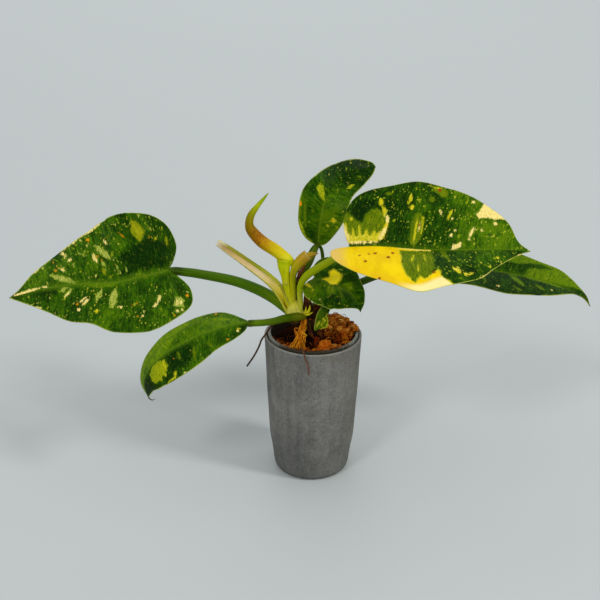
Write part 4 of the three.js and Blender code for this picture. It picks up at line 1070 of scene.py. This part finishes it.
# Below its pale top the stem is its own dark brown, painted darker still as painted shade under the crown
# and the stalks.
add_stalk("stem_ringed", "stem", "stem_bark",
          [(0, 196, 190, 110), (0.12, 120, 104, 30), (0.2, 56, 34, 14), (0.4, 38, 20, 10), (1, 30, 16, 8)],
          sweep(STEM_PATH, (6.5, 9, 8.4, 8.6, 7.6, 6), stalk_section(32, 11, 0.03), FRONT, 0.8, stem_rings),
          streaks=0.15, roughness=0.8)

# Roots

LEFT_ROOT_PATH = [(-20, -7, 168), (-28, -14, 176), (-36, -19, 178), (-43, -22, 172), (-47, -24, 166),
                  (-52, -25, 159), (-55, -26, 151), (-60, -27, 141), (-67, -28, 130)]
FRONT_ROOT_PATH = [(-15, -35, 140), (-13.5, -38, 151), (-12, -41, 157.8), (-11, -46, 159),
                   (-9.5, -50.5, 157), (-8, -51.4, 151), (-5.5, -51.2, 145), (-4.5, -51, 139),
                   (-4.5, -50.8, 133)]
for name, path, radii, middle, tip in (
        ("left", LEFT_ROOT_PATH, (1.1, 0.88), (64, 36, 22), (50, 28, 18)),
        ("front", FRONT_ROOT_PATH, (0.8, 0.64), (92, 50, 32), (112, 62, 44))):
    add_stalk(f"root_{name}_thin", f"root_{name}", "root_brown",
              [(0, 84, 52, 28), (0.5, *middle), (1, *tip)],
              sweep(path, radii, circle(10), step=1.2), streaks=0.6, roughness=0.7, specular=0.2)

SHOOTS = (([(-10, -10, 180), (-5, -11.5, 185), (-3.5, -12, 192)], (2.2, 1.6, 0.5)),
          ([(-9, -11, 181), (-5, -12.5, 181.5), (-0.5, -13.5, 185)], (1.5, 1.1, 0.3)),
          ([(-9, -11, 180), (-8, -12, 186), (-7.5, -12, 190.5)], (1.4, 1.0, 0.3)))
add_stalk("side_shoot_forked", "side_shoot", "stalk_olive",
          [(0, 140, 136, 20), (0.4, 206, 196, 30), (0.8, 196, 188, 20), (1, 150, 140, 20)],
          *(sweep(path, radii, stalk_section(16, 5, 0.06), FRONT, 0.8) for path, radii in SHOOTS),
          streaks=0.6)

TUFT_TOP = np.array((-9, -11, 176))


def tuft_fibre(chance, k):
    """One fine root of the tuft. Every fourth one strays further from its way down."""
    foot_x = -24 + 15 * k / (TUFT_FIBRES - 1) + chance.uniform(-2, 2)
    foot = np.array((foot_x, -24 - 7 * chance.random(), 147 + 3 * chance.random()))
    start = TUFT_TOP + (chance.uniform(-2.6, 2.2), chance.uniform(-1.5, 0.5), chance.uniform(-3, 1))
    reach = 2.2 if k % 4 else 4.0
    spots = [start]
    for step in range(1, 8):
        t = step / 8
        bow = np.array((-1, -2.5, 1.5)) * math.sin(math.pi * t)
        wander = [chance.uniform(-reach, reach) * math.sin(math.pi * t) for axis in range(3)]
        spots.append(start + (foot - start) * (t ** 1.6, t, t) + bow + wander)
    spots.append(foot)
    thick = chance.uniform(0.4, 0.75)
    points, faces, traits = sweep(spots, (thick, 1.1 * thick, thick, 0.5 * thick), circle(7), step=1.0)
    return points, faces, traits * (0.45, 1, 1) + (0.75 * chance.random() - 0.12, 0, 0)


chance = random.Random(TUFT_SEED)
add_stalk("root_tuft_fibres", "root_tuft", "root_gold",
          [(0, 96, 44, 4), (0.3, 180, 98, 8), (0.6, 228, 142, 16), (1, 250, 188, 50)],
          *[tuft_fibre(chance, k) for k in range(TUFT_FIBRES)], streaks=0.7, roughness=0.6)

# Substrate. A form is the place, rise and reach of a mound or a dip.

STRAND_LIMIT = LIP_INNER_RADIUS - 1.1
SOIL_FORMS = [(32, 15, 9, 15), (16, 33, 6, 12), (-27, 13, -13, 12), (-27, -12, -3, 8), (23, -7, -9, 6),
              (3, -21, -7, 5), (11, -26, 5, 6)]


def soil_height(x, y):
    height = SOIL_LEVEL + 0.8 * math.sin(0.42 * x + 0.9) * math.sin(0.37 * y)
    height += 0.5 * math.sin(0.8 * x - 0.6 * y)
    for form_x, form_y, rise, reach in SOIL_FORMS:
        height += rise * math.exp(-0.5 * (math.hypot(x - form_x, y - form_y) / reach) ** 2)
    return height


def hollow(x, y):
    """How deep a place lies in the three hollows, from 0 to 1. Fewer chips lie there, and the substrate
    there is painted dark as painted shade.
    """
    left = math.exp(-0.5 * ((x + 27) ** 2 + (y - 14) ** 2) / 170)
    right = math.exp(-0.5 * ((x - 23) ** 2 / 50 + (y + 6) ** 2 / 30))
    front = math.exp(-0.5 * ((x - 1) ** 2 / 14 + (y + 20) ** 2 / 60))
    return min(1, 1.4 * left + right + 1.1 * front)


def soil_radius(height):
    """The substrate's radius at a height, clear of the nursery pot."""
    share = (height - NURSERY_FLOOR) / (LIP_BOTTOM - NURSERY_FLOOR)
    wall = NURSERY_FLOOR_RADIUS - NURSERY_WALL
    return wall + (LIP_INNER_RADIUS - wall) * share - 0.5


def soil_body():
    rim = circle(SOIL_SIDES).tolist()
    points = [(0, 0, soil_height(0, 0))]
    for ring in range(1, SOIL_RINGS + 1):
        radius = soil_radius(SOIL_LEVEL - 8) * ring / SOIL_RINGS
        for cos, sin in rim:
            x, y = radius * cos, radius * sin
            rough = 2.6 * noise.noise((x / 5, y / 5, 0)) + 1.6 * noise.noise((x / 1.8, y / 1.8, 3))
            points.append((x, y, soil_height(x, y) + rough * min(1, 2 - 2 * ring / SOIL_RINGS) - 1.2))
    for height, level in ((SOIL_SHOULDER, SOIL_SHOULDER), (SOIL_BOTTOM, NURSERY_FLOOR)):
        radius = soil_radius(level)
        points.extend((radius * cos, radius * sin, height) for cos, sin in rim)
    faces = [[0, 1 + k, 1 + (k + 1) % SOIL_SIDES] for k in range(SOIL_SIDES)]
    faces += [[k + 1 for k in face][::-1] for face in grid_faces(SOIL_RINGS + 2, SOIL_SIDES)]
    faces.append([1 + (SOIL_RINGS + 1) * SOIL_SIDES + k for k in range(SOIL_SIDES)][::-1])
    # The ground between the chips is painted dark, darker still in the hollows: painted shade in the gaps.
    return points, faces, [(0.3 * (1 - hollow(x, y)), 0.5, 0.5) for x, y, _ in points]


def ball_shape(subdivisions):
    """Points and faces of a small ball, to be pressed into chips and lumps."""
    maker = bmesh.new()
    bmesh.ops.create_icosphere(maker, subdivisions=subdivisions, radius=1.0)
    maker.verts.index_update()
    points = [tuple(vertex.co) for vertex in maker.verts]
    faces = [[vertex.index for vertex in face.verts] for face in maker.faces]
    maker.free()
    return points, faces


CHIP_SHAPE = ball_shape(2)
LUMP_SHAPE = ball_shape(3)


def chunk(chance, x, y, size, lift, shape=CHIP_SHAPE, dim=1.0):
    """An angular bit of bark, or a lump of coir, that lies on the surface."""
    turn = Matrix.Rotation(chance.uniform(0, 2 * math.pi), 3, "Z")
    turn = turn @ Matrix.Rotation(chance.uniform(-0.7, 0.7), 3, "X")
    seed = chance.uniform(0, 100)
    centre = Vector((x, y, soil_height(x, y) + lift))
    points = []
    for corner in shape[0]:
        place = Vector(corner)
        rough = 1 + 0.55 * noise.noise(place * 1.7 + Vector((seed, 0, 0)))
        rough += 0.3 * noise.noise(place * 5 + Vector((seed, 9, 0)))
        local = place * Vector(size) * 0.5 * rough
        points.append(tuple(centre + turn @ local))
    # The hollows darken a chip as painted shade, and a dim below 1 darkens it too.
    tone = (dim * chance.uniform(0.25, 1) * (1 - 0.95 * hollow(x, y)), chance.random(), chance.random())
    return points, shape[1], [tone] * len(points)


def fibre(chance, x, y, z, length, thick):
    """A strand of coir that arches over the surface."""
    angle = chance.uniform(0, 2 * math.pi)
    # The hollows darken a strand as painted shade.
    tone = (chance.uniform(0.3, 1.0) * (1 - 0.6 * hollow(x, y)), chance.random(), chance.random())
    arch = chance.uniform(0.5, 3.0)
    spots = []
    for step in range(5):
        angle += chance.uniform(-0.7, 0.7)
        spots.append((x, y, max(z, soil_height(x, y) + 0.3) + arch * math.sin(math.pi * step / 4)))
        x += 0.25 * length * math.cos(angle)
        y += 0.25 * length * math.sin(angle)
        fit = min(1, STRAND_LIMIT / max(math.hypot(x, y), 1))
        x *= fit
        y *= fit
        z -= 0.4
    points, faces, _ = sweep(spots, (thick, 1.15 * thick, 0.5 * thick), circle(5), step=1.5)
    return points, faces, [tone] * len(points)


def strands(chance, x, y, count, spread, rise):
    """Strands of coir that lie over one lump."""
    return [fibre(chance, x + chance.uniform(-spread, spread), y + chance.uniform(-spread, spread),
                  soil_height(x, y) + 0.3 * rise, chance.uniform(4, 9), 0.28) for _ in range(count)]


def polar(radius, angle):
    return radius * math.cos(angle), radius * math.sin(angle)


def free_spot(chance, reach):
    """A place on the substrate that is clear of the stem."""
    while True:
        x, y = polar(reach * math.sqrt(chance.random()), chance.uniform(0, 2 * math.pi))
        if math.hypot(x - STEM_PLACE[0], y - STEM_PLACE[1]) > STEM_CLEARANCE:
            return x, y


# Single lumps: place, size, and how much of their brightness they keep. Keeping less is painted shade,
# deepest by the stem under the crown.
LUMPS = ((12, -26, (14, 10, 10), 1.0), (8, -31, (9, 7, 8), 1.0), (17, -32, (9, 6, 6), 1.0),
         (-6, -34, (9, 5, 5), 0.8), (-22, -31, (9, 5, 4), 0.8), (4, -36, (7, 5, 4), 0.6),
         (12, -12, (10, 10, 9), 0.3), (9, -2, (8, 7, 6), 0.3), (-38, 8, (6, 5, 6), 0.5),
         (-35, 20, (6, 4, 5), 0.5), (-40, -3, (6, 4, 5), 0.8), (-36, -14, (7, 5, 5), 0.8),
         (4, -12, (8, 6, 12), 0.25), (-4, -14, (7, 5, 11), 0.25), (9, -8, (7, 6, 11), 0.25))

chance = random.Random(COIR_SEED)
coir = [soil_body()]

# Chips all over, every sixth one larger
for k in range(CHIP_COUNT):
    x, y = free_spot(chance, 40.5)
    if chance.random() < 0.85 * hollow(x, y):
        continue
    length = chance.uniform(2.2, 5.0) if k % 6 else chance.uniform(5, 8)
    size = (length, length * chance.uniform(0.4, 0.8), length * chance.uniform(0.3, 0.6))
    coir.append(chunk(chance, x, y, size, chance.uniform(-0.3, 1.2)))

# Lumps heaped up at the back right, then the single ones, with strands over all of them
for k in range(LUMP_COUNT):
    angle = math.radians(chance.uniform(-8, 88))
    x, y = polar(chance.uniform(16, 41), angle)
    size = chance.uniform(5, 9)
    coir.append(chunk(chance, x, y, (size, 0.85 * size, 0.7 * size), chance.uniform(-0.5, 1.5), LUMP_SHAPE))
    coir += strands(chance, x, y, 3, 3, size)
for x, y, size, dim in LUMPS:
    coir.append(chunk(chance, x, y, size, 0.8, LUMP_SHAPE, dim))
    coir += strands(chance, x, y, 4, 4, size[2])

# Chips that lie over the lip at the back, and crumbs on it at the front
for k in range(LIP_CHIPS):
    on_lip_at_back = k % 3 == 0
    angle = math.radians(chance.uniform(2, 62) if on_lip_at_back else chance.uniform(-118, -52))
    x, y = polar(chance.uniform(40.5, 45.0) if on_lip_at_back else chance.uniform(42.5, 45.6), angle)
    size = chance.uniform(4, 8) if on_lip_at_back else chance.uniform(0.8, 2.0)
    lift = LIP_TOP + (1.2 if on_lip_at_back else 0.2) - soil_height(x, y)
    dim = 1.0 if on_lip_at_back else 0.3
    coir.append(chunk(chance, x, y, (size, 0.7 * size, 0.5 * size), lift, CHIP_SHAPE, dim))

# Loose fibres
for k in range(FIBRE_COUNT):
    x, y = free_spot(chance, 39)
    if chance.random() < 0.6 * hollow(x, y):
        continue
    coir.append(fibre(chance, x, y, 0, chance.uniform(5, 13), chance.uniform(0.22, 0.4)))

shader = Shader("coir")
tone, warmth, _ = shader.split(shader.trait("chip"))
place = shader.place()
grain = shader.noise(place, (900, 900, 2250), 3, 0.65)
coarse = shader.noise(place, 260)
shader.colour = shader.ramp(tone * (coarse.around(1.6) + 0.88),
                            [(0, 20, 9, 3), (0.2, 70, 30, 5), (0.42, 180, 92, 10), (0.65, 226, 134, 26),
                             (1, 252, 196, 96)])
shader.paint(warmth.ramp(0.6, 0.9) * 0.4, (170, 60, 8))
shader.paint(grain.ramp(0.5, 0.35) * 0.5, (40, 18, 4))
points, faces, traits = joined(coir)
make_piece("substrate_coir", "substrate", "coir", [shader.finish(0.85, 0.05, grain, 0.0004, 0.7)],
           points, faces, {"chip": traits})


# Pots

def lathe(profile, holes=()):
    """A closed turned body. The profile starts and ends on the axis, and holes go through its floor."""
    profile = np.array(profile, float)
    rings = len(profile) - 2
    body = profile[1:-1, None]
    points = np.concatenate([body[..., :1] * circle(POT_SIDES),
                             np.broadcast_to(body[..., 1:], (rings, POT_SIDES, 1))], -1).reshape(-1, 3)
    faces = grid_faces(rings, POT_SIDES)
    low_loops = [list(range(POT_SIDES))]
    high_loops = [[(rings - 1) * POT_SIDES + k for k in range(POT_SIDES)]]
    for place in holes:
        for loops, height in ((low_loops, profile[0, 1]), (high_loops, profile[-1, 1])):
            loops.append([len(points) + k for k in range(HOLE_SIDES)])
            rim = place + DRAIN_RADIUS * circle(HOLE_SIDES)
            points = np.vstack([points, np.column_stack([rim, np.full(HOLE_SIDES, height)])])
        low, high = low_loops[-1], high_loops[-1]
        faces += [[low[k], low[k - 1], high[k - 1], high[k]] for k in range(HOLE_SIDES)]
    for loops, facing_up in ((low_loops, False), (high_loops, True)):
        corners = [index for loop in loops for index in loop]
        for triangle in tessellate_polygon([[Vector(points[k]) for k in loop] for loop in loops]):
            a, b, c = (corners[k] for k in triangle)
            is_up = np.cross(points[b] - points[a], points[c] - points[a])[2] > 0
            faces.append([a, b, c] if is_up == facing_up else [c, b, a])
    return points, faces


def rounded(corner, before, after, radius, steps=5):
    """A rounded corner of a profile."""
    corner, before, after = (np.array(v, float) for v in (corner, before, after))
    start = corner + unit(before - corner) * radius
    return bend_through(start, corner, corner + unit(after - corner) * radius, steps).tolist()


# Outer radii of the cover pot, at shares of its height
POT_RADII = [(39.7, 0.06), (41.7, 0.163), (44.2, 0.27), (46, 0.475), (47.5, 0.63), (48.4, 0.79),
             (49.9, 0.985)]
pot_side = np.array(POT_RADII) * (1, POT_HEIGHT)
outer = Curve(pot_side).at(np.linspace(0, 1, 60))
foot = bend_through((POT_FOOT_RADIUS, 0), (POT_FOOT_CORNER, 0), pot_side[0], 10)
rim_out = (POT_RIM_RADIUS, POT_HEIGHT)
rim_in = (POT_RIM_RADIUS - POT_WALL, POT_HEIGHT)
inside = outer[::-1] - (POT_WALL, 0)
inside = inside[inside[:, 1] > POT_FLOOR + 4]
points, faces = lathe([
    (0, 0), *foot.tolist(), *outer[1:-1].tolist(), *rounded(rim_out, outer[-1], rim_in, RIM_ROUNDING),
    *rounded(rim_in, rim_out, inside[1], RIM_ROUNDING), *inside[1:].tolist(),
    *rounded((POT_FLOOR_RADIUS, POT_FLOOR), inside[-1], (0, POT_FLOOR), FLOOR_ROUNDING), (0, POT_FLOOR)])

shader = Shader("cement")
place = shader.place()
x, _, z = shader.split(place)
cloud = shader.noise(place, 22, 4)
streaks = shader.noise(place, (120, 120, 16.8))
sand = shader.noise(place, 620, 4, 0.75)
spots = shader.noise(place, 260)
pit_distance, (pit_size, _, _) = shader.cells(place, 170)
pit = (pit_distance - (pit_size * 0.34 - 0.2)).ramp(0.02, -0.02)
shader.colour = shader.ramp(cloud * 0.45 + streaks * 0.3 + spots * 0.25 + sand.around(0.35),
                            [(0.34, 87, 87, 84), (0.5, 112, 111, 107), (0.66, 137, 135, 130)])
shader.paint(sand.ramp(0.58, 0.7) * 0.4, (154, 152, 147))
shader.paint(sand.ramp(0.42, 0.3) * 0.5, (62, 63, 60))
shader.paint(cloud.ramp(0.52, 0.66) * z.ramp(0.09, 0.15) * 0.45, (84, 80, 66))
# The right side is painted darker: painted shade.
shader.paint(x.ramp(0.018, 0.048) * 0.34, (84, 81, 68))
shader.paint(z.ramp(0.09, 0) * 0.38, (70, 72, 68))
# The top of the rim is painted lighter: a painted highlight.
shader.paint(z.ramp(0.1528, 0.1535) * 0.5, (150, 150, 142))
shader.paint(pit * 0.7, (52, 53, 50))
make_piece("cover_pot_turned", "cover_pot", "cement",
           [shader.finish(0.82, 0.12, sand + spots - pit, 0.0003, 0.5)], points, faces, {})

# Nursery pot: a thin wall, a rolled lip and a floor with drain holes

wall_low = NURSERY_FLOOR_RADIUS
lip_outside = (LIP_RADIUS, LIP_TOP)
lip_inside = (LIP_INNER_RADIUS, LIP_TOP)
drains = [(side * DRAIN_PLACE, front * DRAIN_PLACE) for side in (-1, 1) for front in (-1, 1)]
points, faces = lathe([
    (0, NURSERY_BOTTOM), (wall_low - 1, NURSERY_BOTTOM), (wall_low, NURSERY_BOTTOM + 1),
    (LIP_INNER_RADIUS + NURSERY_WALL, LIP_BOTTOM), (LIP_RADIUS - 0.5, LIP_BOTTOM),
    (LIP_RADIUS, LIP_BOTTOM + 0.5),
    *rounded(lip_outside, (LIP_RADIUS, LIP_BOTTOM), lip_inside, LIP_ROUNDING),
    *rounded(lip_inside, lip_outside, (LIP_INNER_RADIUS, LIP_BOTTOM), LIP_ROUNDING),
    (LIP_INNER_RADIUS, LIP_BOTTOM), (wall_low - NURSERY_WALL, NURSERY_FLOOR), (0, NURSERY_FLOOR)], drains)

shader = Shader("pot_plastic")
place = shader.place()
x, y, _ = shader.split(place)
dust = shader.noise(place, 260)
shader.colour = shader.ramp(dust, [(0.3, 104, 106, 96), (0.55, 122, 124, 114), (0.75, 140, 141, 130)])
shader.paint((y.ramp(-0.014, -0.044) + dust.around(1.4)).ramp(0.2, 0.9) * 0.92, (44, 34, 14))
# Inside the lip the plastic is painted near black: soil stain on the inner edge, and painted shade down the
# inner wall.
shader.paint(shader.math("SQRT", x * x + y * y).ramp(0.0445, 0.0434) * 0.92, (34, 24, 10))
make_piece("nursery_pot_turned", "nursery_pot", "pot_plastic", [shader.finish(0.5, 0.2, dust, strength=0.3)],
           points, faces, {})

# Floor, lights and camera, in metres

FLOOR_REACH = 8
CAMERA_PLACE = (-0.0138, -1.2529, 0.7787)
CAMERA_LENS = 81.72
CAMERA_PITCH = math.radians(25.1)
CAMERA_ROLL = math.radians(0.6)

scene = bpy.context.scene
floor_mesh = bpy.data.meshes.new("floor")
corners = [(FLOOR_REACH * x, FLOOR_REACH * y, 0) for x, y in ((-1, -1), (1, -1), (1, 1), (-1, 1))]
floor_mesh.from_pydata(corners, [], [(0, 1, 2, 3)])
shader = Shader("floor")
shader.colour = linear((188, 194, 194))
floor_mesh.materials.append(shader.finish(0.9, 0.05))
floor = bpy.data.objects.new("floor", floor_mesh)
scene.collection.objects.link(floor)

world = bpy.data.worlds.new("studio")
world.use_nodes = True
sky = world.node_tree.nodes["Background"].inputs
sky["Color"].default_value = (0.985, 1.0, 1.015, 1.0)
sky["Strength"].default_value = 0.66
scene.world = world


def area_light(name, place, target, size, power, tone=(1, 1, 1)):
    light = bpy.data.lights.new(name, "AREA")
    light.shape = "DISK"
    light.size = size
    light.energy = power
    light.color = tone
    lamp = bpy.data.objects.new(name, light)
    lamp.location = place
    lamp.rotation_euler = (Vector(target) - Vector(place)).to_track_quat("-Z", "Y").to_euler()
    scene.collection.objects.link(lamp)


area_light("main", (4.22, -1.95, 3.74), (0, 0, 0.15), 1.1, 130, (1, 0.985, 0.96))
area_light("second", (-2.2, -3.65, 4.24), (0, 0, 0.15), 1.2, 66)
area_light("far_floor", (-0.3, 3.0, 2.3), (-0.1, 2.4, 0), 2.4, 19)

forward = Vector((0, math.cos(CAMERA_PITCH), -math.sin(CAMERA_PITCH)))
level_right = Vector((1, 0, 0))
level_up = level_right.cross(forward)
right = level_right * math.cos(CAMERA_ROLL) + level_up * math.sin(CAMERA_ROLL)
up = -level_right * math.sin(CAMERA_ROLL) + level_up * math.cos(CAMERA_ROLL)
turn = Matrix((right, up, -forward)).transposed().to_4x4()
camera = bpy.data.cameras.new("camera")
camera.lens = CAMERA_LENS
camera.sensor_width = 36
camera_piece = bpy.data.objects.new("camera", camera)
camera_piece.matrix_world = Matrix.Translation(CAMERA_PLACE) @ turn
scene.collection.objects.link(camera_piece)
scene.camera = camera_piece
scene.view_settings.view_transform = "Standard"
